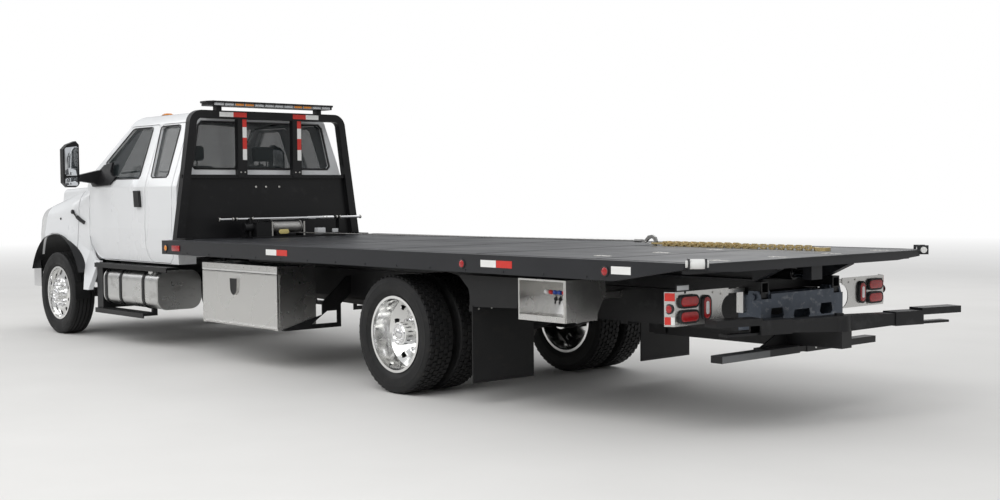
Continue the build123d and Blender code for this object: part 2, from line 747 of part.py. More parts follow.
def build_hood():
    shell = skin_solid - box(5000, cowl_x, -cowl_half, cowl_half, 400, 1800)
    shell -= box(5000, hood_rear_x, -1300, 1300, 400, 1800)
    shell -= side_prism(arch_outline, -1400, 1400)
    # Liner over each tyre
    liner = rod_y(wheelbase, axle_z, arch_radius + 22, 640, 1180)
    liner -= rod_y(wheelbase, axle_z, arch_radius + 10, 600, 1200)
    liner -= box(5000, 7400, 600, 1200, -300, 900)
    liner -= box(5000, hood_rear_x, 600, 1200, 0, 1300)
    liner = liner & hood_body(hood_sheet / 2, fender_low - 50)
    shell += liner
    shell += other_side(liner)
    # Openings of the grille and the headlamps, then the hinge arms
    shell -= box(7150, 7400, -470, 470, 985, 1290)
    y0, y1, z0, z1 = lamp_hole
    for side in (-1, 1):
        shell -= box(7150, 7400, side * y0, side * y1, z0, z1)
    for side in (-1, 1):
        shell += box(hood_hinge_x - 40, hood_hinge_x + 35, side * 395, side * 415, hood_hinge_z - 32, 982)
        shell += rod_y(hood_hinge_x, hood_hinge_z, 22, side * 395, side * 415)
    for side in (-1, 1):
        shell -= rod_y(hood_hinge_x, hood_hinge_z, hood_pin_r + run_gap, side * 380, side * 430)
    return shell


def build_grille():
    x0 = 7214
    g = seat_gap
    frame = box(x0, x0 + 34, -470 + g, 470 - g, 985 + g, 1290 - g) - box(x0 - 1, x0 + 35, -440, 440, 1015, 1260)
    for i in range(4):
        z = 1050 + i * 58
        frame += box(x0 + 6, x0 + 30, -441, 441, z, z + 24)
    for y in (-290, 0, 290):
        frame += box(x0 + 4, x0 + 22, y - 12, y + 12, 1014, 1261)
    return frame


lamp_hole = (530, 840, 1060, 1230)


def build_headlamp():
    y0, y1, z0, z1 = lamp_hole
    g = seat_gap
    return box(7212, 7248, y0 + g, y1 - g, z0 + g, z1 - g)


# Bumper
bumper_low = 510
bumper_high = 810
bumper_rear_x = 6930


def build_bumper():
    t = bumper_sheet
    outer = [(bumper_rear_x, bumper_half), (7110, bumper_half), ("arc", (7262, 1015), (bumper_front_x, 860)),
             (bumper_front_x, -860), ("arc", (7262, -1015), (7110, -bumper_half)), (bumper_rear_x, -bumper_half)]
    inner = [(bumper_rear_x - 10, bumper_half - t), (7108, bumper_half - t),
             ("arc", (7253, 1006), (bumper_front_x - t, 856)), (bumper_front_x - t, -856),
             ("arc", (7253, -1006), (7108, -bumper_half + t)), (bumper_rear_x - 10, -bumper_half + t)]
    return plan_prism(outer, bumper_low, bumper_high) - plan_prism(inner, bumper_low - 1, bumper_high + 1)


def hood_hinge_brackets():
    """Ears on the bumper horns that hold the hood's hinge pins."""
    parts = []
    for side in (-1, 1):
        parts.append(box(hood_hinge_x - 30, hood_hinge_x + 30, side * 375, side * (395 - seat_gap),
                         rail_bottom + 130, hood_hinge_z + 22))
        parts.append(box(hood_hinge_x - 30, hood_hinge_x + 30, side * (415 + seat_gap), side * 430,
                         rail_bottom + 130, hood_hinge_z + 22))
        parts.append(rod_y(hood_hinge_x, hood_hinge_z, hood_pin_r, side * 380, side * 428))
    return fuse(parts)


# Fuel tank with its straps, and the steps
tank_front_x = 5280
tank_rear_x = 4055
tank_inner_y = 610
tank_outer_y = 1100
tank_low = 398
tank_high = 788
tank_corner = 110


def rounded_block(x0, x1, y0, y1, z0, z1, corner):
    block = box(x0, x1, y0, y1, z0, z1)
    return fillet(block.edges().filter_by(Axis.X), corner)


def build_tank():
    tank = rounded_block(tank_rear_x, tank_front_x, tank_inner_y, tank_outer_y, tank_low, tank_high, tank_corner)
    cap = rod_z(4285, 1040, 38, tank_high - 30, tank_high + 22)
    return tank + cap


strap_places = [4370, 4880, 5215]


def strap(x):
    t = 7
    ring = rounded_block(x - 22, x + 22, tank_inner_y - t - seat_gap, tank_outer_y + t + seat_gap,
                         tank_low - t - seat_gap, tank_high + t + seat_gap, tank_corner + t)
    ring -= rounded_block(x - 30, x + 30, tank_inner_y - seat_gap, tank_outer_y + seat_gap,
                          tank_low - seat_gap, tank_high + seat_gap, tank_corner)
    hook = box(x - 22, x + 22, frame_half + seat_gap, tank_inner_y - 2, rail_bottom + 30, rail_bottom + 110)
    return ring + hook


step_outer_y = 1125


def steps():
    top = box(tank_rear_x - 230, 5445, 985, step_outer_y, 815, 838)
    top += box(tank_rear_x - 230, 5445, step_outer_y - 12, step_outer_y, 790, 838)
    low = box(4335, 5445, 960, step_outer_y, 322, 350)
    low += box(4335, 5445, step_outer_y - 12, step_outer_y, 300, 350)
    front = box(5310, 5445, frame_half + seat_gap, 1095, 640, 700) + box(5310, 5445, 700, 1095, 350, 815)
    rear = box(4335, 4375, 960, 1010, 322, 398 - 8)
    link = box(4335, 4375, 980, 1000, 386, 391)
    return top + low + front + rear + link


def build_left_steps():
    parts = steps()
    for x in strap_places:
        parts += strap(x)
    return parts


def build_right_steps():
    """The right side has the same steps round a battery box instead of the tank."""
    parts = other_side(steps())
    parts += other_side(box(tank_rear_x - 230, 5311, 985, 1010, 690, 816))
    case = other_side(rounded_block(4420, 5200, 690, 1095, 400, 760, 30))
    hanger = box(4500, 4560, frame_half + seat_gap, 691, 640, 700)
    hanger = other_side(hanger + box(5060, 5120, frame_half + seat_gap, 691, 640, 700))
    tie = other_side(box(4420, 5200, 985, 1010, 759, 800))
    low_tie = other_side(box(4380, 4421, 960, 1000, 322, 520))
    return parts + case + hanger + tie + low_tie


# Toolboxes
toolbox_door_thick = 22


def toolbox_shell():
    t = toolbox_sheet
    door_face = toolbox_outer_y - toolbox_door_thick - seat_gap
    case = box(toolbox_rear_x, toolbox_front_x, toolbox_inner_y, door_face, toolbox_bottom, toolbox_top)
    case -= box(toolbox_rear_x + t, toolbox_front_x - t, toolbox_inner_y + t, door_face + 1,
                toolbox_bottom + t, toolbox_top - t)
    strip = box(toolbox_rear_x, toolbox_front_x, door_face - t, toolbox_outer_y, toolbox_top - toolbox_strip,
                toolbox_top)
    lip = box(toolbox_rear_x, toolbox_front_x, door_face - 30, door_face, toolbox_bottom, toolbox_bottom + t)
    shell = case + strip + lip
    # Hinge pins at the ends of the bottom edge
    hinge_y, hinge_z = toolbox_hinge
    for x0, x1 in ((toolbox_rear_x, toolbox_rear_x + 60), (toolbox_front_x - 60, toolbox_front_x)):
        shell += box(x0, x1, door_face - 20, hinge_y + 8, toolbox_bottom - 8, hinge_z + 8)
    shell += rod_x(hinge_y, hinge_z, 5, toolbox_rear_x + 30, toolbox_rear_x + 100)
    shell += rod_x(hinge_y, hinge_z, 5, toolbox_front_x - 100, toolbox_front_x - 30)
    return shell


toolbox_hinge = (toolbox_outer_y - 11, toolbox_bottom + 4)


def toolbox_door():
    hinge_y, hinge_z = toolbox_hinge
    low = toolbox_bottom + 16
    high = toolbox_top - toolbox_strip - 8
    inner = toolbox_outer_y - toolbox_door_thick
    door = box(toolbox_rear_x + 4, toolbox_front_x - 4, inner, toolbox_outer_y, low, high)
    door -= box(toolbox_rear_x + 40, toolbox_front_x - 40, inner - 1, toolbox_outer_y - 6, low + 36, high - 36)
    knuckle = rod_x(hinge_y, hinge_z, 11, toolbox_rear_x + 64, toolbox_front_x - 64)
    neck = box(toolbox_rear_x + 64, toolbox_front_x - 64, hinge_y - 6, hinge_y + 6, hinge_z, low + 2)
    door += knuckle + neck
    door -= rod_x(hinge_y, hinge_z, 5 + run_gap, toolbox_rear_x, toolbox_rear_x + 100 + seat_gap)
    door -= rod_x(hinge_y, hinge_z, 5 + run_gap, toolbox_front_x - 100 - seat_gap, toolbox_front_x)
    shield = [(2440, 800), (2320, 800), (2325, 720), ("arc", (2345, 668), (2380, 650)),
              ("arc", (2415, 668), (2435, 720))]
    latch = side_prism(shield, toolbox_outer_y - 2, toolbox_outer_y + 14)
    pocket = [(2418, 770), (2342, 770), (2350, 715), (2410, 715)]
    latch -= side_prism(pocket, toolbox_outer_y + 6, toolbox_outer_y + 15)
    return door + latch


# Mud flaps with their side plates and arms
flap_x = -950


def build_flap():
    flap = box(flap_x - 5, flap_x + 5, 600, 1205, 175, 745)
    arm = box(flap_x + 5, flap_x + 45, frame_half + seat_gap, 1195, 700, 745)
    plate = side_prism([(-790, 965), (-905, 865), (-935, 735), (-1430, 752), (-1450, 965)], 1188, 1200)
    shelf = box(-1450, -905, 1160, 1190, 940, 965)
    post = box(flap_x + 5, flap_x + 45, 1150, 1190, 700, 965)
    brace = box(-1300, -1260, frame_half + seat_gap, 1189, 820, 860)
    return flap + arm + plate + shelf + post + brace


# Control stations
control_front_x = -1462
control_rear_x = -1920
control_low = 680
control_high = 968
control_outer_y = 1220
lever_count = 6
lever_pitch = 44


def build_control():
    t = 12
    shell = box(control_rear_x, control_front_x, 905, control_outer_y, control_low, control_high)
    shell -= box(control_rear_x + t, control_front_x - t, 920, control_outer_y + 1, control_low + t + 28,
                 control_high - t)
    panel = front_prism([(912, 700), (1060, 700), (985, 960), (912, 960)], control_rear_x + t / 2,
                        control_front_x - t / 2)
    station = shell + panel
    wing = front_prism([(control_outer_y, control_high), (control_outer_y - 8, control_low), (1130, control_low + 6),
                        (1105, control_low - 8), (930, control_low + 24), (830, 860), (840, control_high)],
                       control_rear_x - 10, control_rear_x)
    arm = box(-1720, -1660, frame_half + seat_gap, 906, 800, 850)
    station += wing + arm
    for i in range(lever_count):
        x = control_front_x - 175 - i * lever_pitch
        slot = Pos(x, 1030, 830) * Rot(-18, 0, 0) * Box(17, 40, 110)
        station -= slot
    for i in range(lever_count):
        x = control_front_x - 175 - i * lever_pitch
        station += rod_between((x, 975, 830), (x, 1105, 872), 5)
        station += rod_between((x, 1100, 870.4), (x, 1126, 878.8), 11)
    return station


# Tail: pivot posts, cross plate with three cut-outs, lamp panels
def build_tail_frame():
    post_outline = [(rail_rear_x, 640), (rail_rear_x, 876), (tilt_axis_x + 46, 876), (tilt_axis_x + 34, 905),
                    (tilt_axis_x - 38, 905), (tilt_axis_x - 52, 850), (tilt_axis_x - 52, 700),
                    (tilt_axis_x + 10, 655)]
    inner_y = tilt_rail_y - tilt_rail_width / 2 - seat_gap
    outer_y = tilt_rail_y + tilt_rail_width / 2 + seat_gap
    half = side_prism(post_outline, outer_y, outer_y + 20) + side_prism(post_outline, inner_y - 20, inner_y)
    half += box(tilt_axis_x - 52, rail_rear_x, inner_y - 20, outer_y + 20, 655, 675)
    half += rod_y(tilt_axis_x, tilt_axis_z, 22, inner_y - 34, outer_y + 34)
    whole = half + other_side(half)
    web_x = tilt_axis_x - 52
    inside = inner_y - 8
    web = front_prism([(-outer_y - 20, 672), (outer_y + 20, 672), (outer_y + 20, 852), (inside, 852), (inside, 884),
                       (-inside, 884), (-inside, 852), (-outer_y - 20, 852)], web_x - 12, web_x)
    holes = [
        # y of the middle, width, z low, z high
        (-265, 150, 715, 790),
        (15, 190, 705, 765),
        (290, 150, 715, 790),
    ]
    for y, width, z0, z1 in holes:
        cut = front_prism([(y - width / 2 + 20, z0), (y + width / 2 - 20, z0), (y + width / 2, z0 + 20),
                           (y + width / 2 - 14, z1), (y - width / 2 + 14, z1), (y - width / 2, z0 + 20)],
                          web_x - 20, web_x + 20)
        web -= cut
    shelf = box(web_x - 12, -2800, -outer_y - 20, outer_y + 20, 672, 690)
    whole += web + shelf
    # End plate across the rails and the carrier of the boom
    plate = box(rail_rear_x - 12, rail_rear_x - seat_gap, -frame_half, frame_half, 662, rail_top - 4)
    plate -= box(rail_rear_x - 20, rail_rear_x + 10, -120, 120, 720, 860)
    whole += plate
    whole += box(-2800, rail_rear_x - 5, -outer_y - 20, outer_y + 20, 672, 690)
    return whole


def build_boom_carrier():
    """Cheeks under the rails that hold the boom's pivot pin."""
    half = box(boom_pivot_x - 70, boom_pivot_x + 90, boom_size / 2 + seat_gap, boom_size / 2 + 18, 520, 700)
    half += box(boom_pivot_x - 10, boom_pivot_x + 60, boom_size / 2 + 10, frame_half, 610, rail_bottom)
    half += box(boom_pivot_x - 70, boom_pivot_x + 90, boom_size / 2 + 10, frame_half - rail_flange, 700 - 40, 700)
    return half + other_side(half)


panel_x = -2840
panel_low = 718
panel_high = 934
panel_outer_y = 1165
panel_inner_y = 640


def build_tail_panel():
    t = 6
    face = box(panel_x, panel_x + t, panel_inner_y, panel_outer_y, panel_low, panel_high)
    turn = plan_prism([(panel_x, panel_outer_y), (panel_x + 60, panel_outer_y + 34),
                       (panel_x + 64, panel_outer_y + 28), (panel_x + t, panel_outer_y - t)], panel_low, panel_high)
    face -= rod_x(panel_inner_y - 13, 805, 84, panel_x - 10, panel_x + 20)
    post_y = tilt_rail_y + tilt_rail_width / 2 + 20 + seat_gap * 2
    arm = box(panel_x + t, panel_x + t + 30, post_y, 1060, 898, 925)
    arm += box(panel_x + t, rail_rear_x, post_y, post_y + 20, 760, 925)
    return face + turn + arm


lamp_ovals = [
    # y of the middle, z of the middle, width, height
    (1043, 871, 190, 84),
    (1043, 775, 190, 84),
    (874, 822, 88, 160),
]


def build_tail_lamps():
    lamps = []
    for y, z, width, height in lamp_ovals:
        r = min(width, height) / 2
        if width > height:
            a = (y - (width / 2 - r), z)
            b = (y + (width / 2 - r), z)
            oval = rod_x(a[0], z, r, panel_x - 16, panel_x - seat_gap)
            oval += rod_x(b[0], z, r, panel_x - 16, panel_x - seat_gap)
            oval += box(panel_x - 16, panel_x - seat_gap, a[0], b[0], z - r, z + r)
        else:
            z0 = z - (height / 2 - r)
            z1 = z + (height / 2 - r)
            oval = rod_x(y, z0, r, panel_x - 16, panel_x - seat_gap)
            oval += rod_x(y, z1, r, panel_x - 16, panel_x - seat_gap)
            oval += box(panel_x - 16, panel_x - seat_gap, y - r, y + r, z0, z1)
        lamps.append(oval)
    return lamps


# Tilt frame under the deck
tilt_rail_low = 886
tilt_rail_high = 966
tilt_front_x = 3400
slide_z = 1001
slide_bore = 31
slide_tube = 44
slide_front_x = 1420


def build_tilt_frame():
    rear_x = tilt_axis_x - 50
    inner = tilt_rail_y - tilt_rail_width / 2
    half = box(rear_x, tilt_front_x, inner, inner + tilt_rail_width, tilt_rail_low, tilt_rail_high)
    hollow = box(rear_x - 1, tilt_front_x + 1, inner + 10, inner + tilt_rail_width - 10,
                 tilt_rail_low + 10, tilt_rail_high - 10)
    half -= hollow
    lug = rod_y(tilt_axis_x, tilt_axis_z, 40, inner, inner + tilt_rail_width)
    lug += box(tilt_axis_x - 40, tilt_axis_x + 40, inner, inner + tilt_rail_width, tilt_axis_z, tilt_rail_low + 5)
    half += lug
    half -= rod_y(tilt_axis_x, tilt_axis_z, 22 + run_gap, 300, 500)
    whole = half + other_side(half)
    for x in (-2740, -1700, -500, 900, 2200, 3300):
        whole += box(x - 35, x + 35, -inner, inner, tilt_rail_low + 4, slide_z - slide_tube + 6)
    tube = rod_x(0, slide_z, slide_tube, rear_x + 60, slide_front_x)
    whole += tube
    whole -= rod_x(0, slide_z, slide_bore, rear_x - 200, slide_front_x - 20)
    # Ears for the rods of the tilt cylinders
    for side in (-1, 1):
        for y in (cylinder_y - 42, cylinder_y + 30):
            ear = box(rod_eye_x - 40, rod_eye_x + 40, side * y, side * (y + 12), rod_eye_z - 30, tilt_rail_low + 60)
            whole += ear
        whole += rod_y(rod_eye_x, rod_eye_z, 18, side * (cylinder_y - 42), side * (cylinder_y + 42))
        whole += box(rod_eye_x - 40, rod_eye_x + 40, side * (cylinder_y - 42), side * (inner + 1), tilt_rail_low + 4, 950)
        whole += box(rod_eye_x - 40, rod_eye_x + 40, side * (cylinder_y - 42), side * 60, tilt_rail_low + 4, 950)
    return whole


# Tilt cylinders: barrels pinned to the frame, rods that end round pins of the tilt frame
cylinder_y = 250
rod_eye_x = -1500
rod_eye_z = 830
barrel_eye_x = -450
barrel_eye_z = 480
eye_play = 22


def cylinder_axis():
    dx = rod_eye_x - barrel_eye_x
    dz = rod_eye_z - barrel_eye_z
    length = hypot(dx, dz)
    return dx / length, dz / length, length


def along(distance):
    ux, uz, _ = cylinder_axis()
    return barrel_eye_x + ux * distance, barrel_eye_z + uz * distance


def build_tilt_barrels():
    parts = []
    length = cylinder_axis()[2]
    for side in (-1, 1):
        y = side * cylinder_y
        x0, z0 = along(30)
        x1, z1 = along(length - 190)
        barrel = rod_between((x0, y, z0), (x1, y, z1), 52)
        barrel += rod_y(barrel_eye_x, barrel_eye_z, 38, y - 25, y + 25)
        xa, za = along(60)
        xb, zb = along(length - 189)
        barrel -= rod_between((xa, y, za), (xb, y, zb), 27 + run_gap)
        barrel -= rod_y(barrel_eye_x, barrel_eye_z, 18 + run_gap, y - 60, y + 60)
        parts.append(barrel)
    return parts


def build_tilt_rods():
    parts = []
    length = cylinder_axis()[2]
    for side in (-1, 1):
        y = side * cylinder_y
        x0, z0 = along(120)
        x1, z1 = along(length - 48)
        rod = rod_between((x0, y, z0), (x1, y, z1), 27)
        rod += rod_y(rod_eye_x, rod_eye_z, 18 + eye_play + 15, y - 24, y + 24)
        rod -= rod_y(rod_eye_x, rod_eye_z, 18 + eye_play, y - 60, y + 60)
        parts.append(rod)
    return parts


def barrel_brackets():
    """Ears on the frame that hold the barrels' pins."""
    parts = []
    for side in (-1, 1):
        for y in (cylinder_y - 70, cylinder_y + 58):
            parts.append(box(barrel_eye_x - 40, barrel_eye_x + 160, side * y, side * (y + 12), barrel_eye_z - 30, 720))
        parts.append(rod_y(barrel_eye_x, barrel_eye_z, 18, side * (cylinder_y - 60), side * (cylinder_y + 60)))
    return fuse(parts)


# Sliding deck
rail_taper_x = deck_tail_x + 702
beam_low = tilt_rail_high + seat_gap
deck_cross_low = 1054
crossmember_pitch = 406


def build_deck():
    plate = box(deck_tail_x, deck_front_x, -half_deck, half_deck, deck_top - deck_plate, deck_top)
    low = deck_top - side_rail_height
    rail_outline = [(deck_front_x, low), (deck_front_x, deck_top - 2), (deck_tail_x + 60, deck_top - 2),
                    (deck_tail_x + 60, deck_top - 30), (rail_taper_x, low)]
    rail_solid = side_prism(rail_outline, half_deck - side_rail_width, half_deck)
    hollow = [(deck_front_x + 1, low + 10), (deck_front_x + 1, deck_top - deck_plate),
              (deck_tail_x + 300, deck_top - deck_plate), (rail_taper_x + 10, low + 10)]
    rail_solid -= side_prism(hollow, half_deck - side_rail_width - 1, half_deck - 10)
    beam_y = tilt_rail_y - tilt_rail_width / 2 + 5
    beam = side_prism([(deck_front_x - 20, beam_low), (deck_front_x - 20, deck_top - deck_plate),
                       (deck_tail_x + 60, deck_top - deck_plate), (deck_tail_x + 60, 1050),
                       (deck_tail_x + 240, beam_low)], beam_y, beam_y + tilt_rail_width - 10)
    beam -= box(deck_tail_x + 260, deck_front_x - 40, beam_y + 12, beam_y + 100, beam_low + 12,
                deck_top - deck_plate - 10)
    half = rail_solid + beam
    whole = plate + half + other_side(half)
    count = int((deck_length - 200) / crossmember_pitch)
    for i in range(count + 1):
        x = deck_front_x - 60 - i * crossmember_pitch
        whole += box(x - 25, x + 25, -half_deck + side_rail_width - 1, half_deck - side_rail_width + 1,
                     deck_cross_low, deck_top - deck_plate)
    # Tail beam
    beam_half = half_deck - 45
    whole += front_prism([(-beam_half, 1083), (-900, 1060), (900, 1060), (beam_half, 1083),
                          (beam_half, deck_top - deck_plate), (-beam_half, deck_top - deck_plate)],
                         deck_tail_x + 10, deck_tail_x + 66)
    # Bracket for the slide rod
    whole += box(deck_tail_x + 60, deck_tail_x + 130, -60, 60, slide_z - 36, deck_top - deck_plate)
    corner = plan_prism([(deck_tail_x - 1, half_deck - corner_leg - 1), (deck_tail_x + corner_leg + 1, half_deck + 1),
                         (deck_tail_x - 1, half_deck + 1)], 900, deck_top + 1)
    whole -= corner
    whole -= other_side(corner)
    for place in (roller_half + 6, -roller_half - 6):
        ear = Pos(0, place, 0) * Box(ear_reach, 10, 66)
        ear = roller_place * (Pos(ear_reach / 2 - roller_r - 6, 0, 0) * ear - rod_y(0, 0, axle_r + run_gap, -200, 200))
        whole += ear
        whole += other_side(ear)
    # Keyhole slots for chains
    for y in (-900, -300, 300, 900):
        for x in (deck_tail_x + 190, deck_tail_x + 1200):
            whole -= rod_z(x, y, 34, deck_top - deck_plate - 1, deck_top + 1)
            whole -= box(x - 110, x, y - 9, y + 9, deck_top - deck_plate - 1, deck_top + 1)
    return whole


slide_rod_r = 28


def build_slide_rod():
    return rod_x(0, slide_z, slide_rod_r, deck_tail_x + 130 + seat_gap, slide_front_x - 120)


corner_leg = 116
roller_r = 30
roller_half = 45
roller_z = deck_top - 2
axle_r = 10
ear_reach = 80
# The roller lies along the cut corner: its own X points into the deck and its own Y along the cut
roller_out = roller_r + seat_gap
roller_place = (Pos(deck_tail_x + (corner_leg - roller_out * 2 ** 0.5) / 2, half_deck - (corner_leg - roller_out * 2 ** 0.5) / 2,
                    roller_z) * Rot(0, 0, -45))


def build_tail_rollers():
    """Rollers along the cut corners of the deck's tail, on axles through the deck's ears."""
    left = rod_y(0, 0, roller_r, -roller_half, roller_half)
    left += rod_y(0, 0, axle_r, -roller_half - 11 - seat_gap, roller_half + 11 + seat_gap)
    for side in (-1, 1):
        left += rod_y(0, 0, roller_r - 8, side * (roller_half + 11 + seat_gap), side * (roller_half + 24))
    return both_sides(roller_place * left)


# Headboard with its hoop, panel, posts and light bar
hoop_x = deck_front_x + 66
hoop_tube = 80
hoop_foot_z = 1012
hoop_foot_y = 1119
hoop_bend_y = 935
hoop_bend_z = 2275
hoop_top_y = 790
hoop_top_z = 2410
board_top = 1750
board_half = 1005
post_places = [333, -325]
post_width = 106
light_half = 760
light_low = 2455
light_high = 2500
light_foot_y = 600


def hoop_outline(inset):
    """Front view of the hoop, moved in by inset."""
    t = inset
    bend = (hoop_bend_y + hoop_top_y) / 2 + 30
    return [(hoop_foot_y - t, hoop_foot_z - t), (hoop_bend_y - t, hoop_bend_z),
            ("arc", (bend - t * 0.7, hoop_top_z - 40 - t * 0.7), (hoop_top_y, hoop_top_z - t)),
            (-hoop_top_y, hoop_top_z - t),
            ("arc", (-bend + t * 0.7, hoop_top_z - 40 - t * 0.7), (-hoop_bend_y + t, hoop_bend_z)),
            (-hoop_foot_y + t, hoop_foot_z - t)]


def build_headboard():
    """Hoop just ahead of the deck, with its feet hooked over the deck's front edge."""
    front = hoop_x + hoop_tube
    hoop = front_prism(hoop_outline(0), hoop_x, front) - front_prism(hoop_outline(hoop_tube), hoop_x - 1, front + 1)
    panel = front_prism([(board_half + 88, 1060), (board_half - 5, board_top), (5 - board_half, board_top),
                         (-board_half - 88, 1060)], front - 30, front - 18)
    board = hoop + panel
    for y in post_places:
        board += box(hoop_x + 10, front - 10, y - post_width / 2, y + post_width / 2, board_top - 10, hoop_top_z - 5)
    board += box(hoop_x + 20, front - 20, -board_half - 15, board_half + 15, board_top - 20, board_top + 15)
    for side in (-1, 1):
        board += box(deck_front_x - 110, hoop_x + 5, side * 1010, side * 1100, deck_top + seat_gap, deck_top + 14)
        board += box(deck_front_x + seat_gap, hoop_x + 5, side * 1030, side * 1100, hoop_foot_z + 10, deck_top + 14)
        board += box(hoop_x + 5, front - 5, side * (light_foot_y - 30), side * (light_foot_y + 30), hoop_top_z - 5,
                     light_low - seat_gap)
    return board


def build_light_bar():
    """Flat cover with a row of lamp blocks under it."""
    rear = hoop_x - 90
    front = hoop_x + 170
    end = 42
    bar = plan_prism([(rear, end - light_half), (rear, light_half - end), (rear + 70, light_half),
                      (front - 70, light_half), (front, light_half - end), (front, end - light_half),
                      (front - 70, -light_half), (rear + 70, -light_half)], light_high - 16, light_high)
    bar += plan_prism([(rear + 22, end - light_half), (rear + 22, light_half - end), (rear + 76, light_half - 24),
                       (front - 76, light_half - 24), (front - 22, light_half - end), (front - 22, end - light_half),
                       (front - 76, 24 - light_half), (rear + 76, 24 - light_half)], light_low, light_high - 15)
    return bar


# Winch at the headboard's foot
winch_x = deck_front_x - 230
winch_z = deck_top + 105
drum_r = 52
drum_flange_r = 70
drum_axle_r = 20
winch_base_half = 110
tension_bar_r = 12


def build_winch_frame():
    frame = box(winch_x - winch_base_half, winch_x + winch_base_half, -640, 480, deck_top + seat_gap, deck_top + 14)
    for y in (-150, 230):
        frame += box(winch_x - 70, winch_x + 70, y - 12, y + 12, deck_top + 10, winch_z + 60)
        frame += rod_y(winch_x, winch_z, 64, y - 12, y + 12)
    frame += box(winch_x - 80, winch_x + 80, 242, 420, deck_top + 12, winch_z + 50)
    frame += rod_y(winch_x, winch_z, 46, 420, 520)
    for y in (-162, 242 - 24):
        frame -= rod_y(winch_x, winch_z, drum_axle_r + run_gap, y - 1, y + 25)
    # Tensioner bar over the drum on two brackets
    for y in (-620, 460):
        frame += box(winch_x - 30, winch_x + 30, y - 10, y + 10, deck_top + 12, winch_z + 95)
    frame += rod_y(winch_x, winch_z + 88, tension_bar_r, -900, 800)
    return frame


def build_winch_drum():
    drum = rod_y(winch_x, winch_z, drum_r, -122, 202)
    drum += rod_y(winch_x, winch_z, drum_axle_r, -156, 236)
    drum += rod_y(winch_x, winch_z, drum_flange_r, -132, -122) + rod_y(winch_x, winch_z, drum_flange_r, 202, 212)
    return drum


# Winch cable pulled along the deck to the chain bridle
cable_r = 6
link_wire = 11
link_length = 62
link_width = 38
link_gap = 0.4
link_pitch = link_length - link_wire * 2 - link_gap
chain_z = deck_top + seat_gap + link_width / 2
hook_half = 11
hook_tip_low = 34
hook_eye = (-950, -620, deck_top + seat_gap + hook_tip_low)
ring_front_x = hook_eye[0] - 116
ring_length = 150
ring_wire = 14
ring_front_half = 12
ring_rear_half = 28
cable_start = (winch_x - 20, -60, winch_z - drum_r - cable_r - 1)
chain_legs = [
    # y from the cable's, turn about Z in degrees, number of links (odd)
    (-20.5, 5.0, 17),
    (20.5, 0.8, 35),
]


def hook_outline(x, level):
    """Hook seen from its side, from its shank at x to its tip; level is the height of the shank's middle."""
    shape = [(-44, -16), (-44, 16), (-74, 44), (-118, 52), (-152, 34), (-166, 0), (-152, -hook_tip_low), (-130, -30),
             (-141, -2), (-128, 18), (-104, 27), (-76, 14)]
    return [(x + dx, level + dz) for dx, dz in shape]


def build_winch_cable():
    """Taut rope from under the drum to its upright hook."""
    rope = rod_between(cable_start, hook_eye, cable_r)
    x, y, z = hook_eye
    thimble = rod_between((x + 70, y + 9.2, z + 0.2), (x - 6, y - 0.8, z), 13)
    shank = box(x - 50, x - 4, y - hook_half, y + hook_half, z - hook_half, z + hook_half)
    return rope + thimble + shank + side_prism(hook_outline(x, z), y - hook_half, y + hook_half)


def chain_link():
    """Long link along X, drawn flat: cut corners outside, a plain slot inside."""
    x = link_length / 2
    y = link_width / 2
    cut = 9
    outer = [(-x, cut - y), (-x, y - cut), (cut - x, y), (x - cut, y), (x, y - cut), (x, cut - y), (x - cut, -y),
             (cut - x, -y)]
    slot = Box(link_length - link_wire * 2, link_width - link_wire * 2, link_wire * 2)
    return plan_prism(outer, -link_wire / 2, link_wire / 2) - slot


def build_chain_bridle():
    """Pear-shaped ring through the winch hook, and two legs of links along the deck to their end hooks."""
    y = hook_eye[1]
    f = ring_front_x
    r = ring_front_x - ring_length
    t = ring_wire
    rear_half = ring_rear_half + t
    outer = [(f, 18), (f - t, ring_front_half + t), (r + t, rear_half), (r, rear_half - 10), (r, 10 - rear_half),
             (r + t, -rear_half), (f - t, -ring_front_half - t), (f, -18)]
    inner = [(f - t, ring_front_half), (r + t * 2, ring_rear_half), (r + t, ring_rear_half), (r + t, -ring_rear_half),
             (r + t * 2, -ring_rear_half), (f - t, -ring_front_half)]
    parts = [Pos(0, y, chain_z) * (plan_prism(outer, -t / 2, t / 2) - plan_prism(inner, -t, t))]
    link = chain_link()
    first_x = r + t + link_gap + link_wire - link_length / 2
    for leg_y, turn, count in chain_legs:
        for i in range(count + 1):
            a = radians(turn)
            place = Pos(first_x - i * link_pitch * cos(a), y + leg_y - i * link_pitch * sin(a), chain_z)
            piece = link if i % 2 else Rot(90, 0, 0) * link
            if i == count:
                low = deck_top + seat_gap - chain_z
                piece += plan_prism([(dx + 26, dy) for dx, dy in hook_outline(0, 0)], low, low + 24)
            parts.append(place * Rot(0, 0, turn) * piece)
    return parts


# Wheel lift: boom, sliding inner boom and crossbar
boom_wall = 14
boom_rear_x = -2880
gusset_gap = 4
gusset_thick = 12


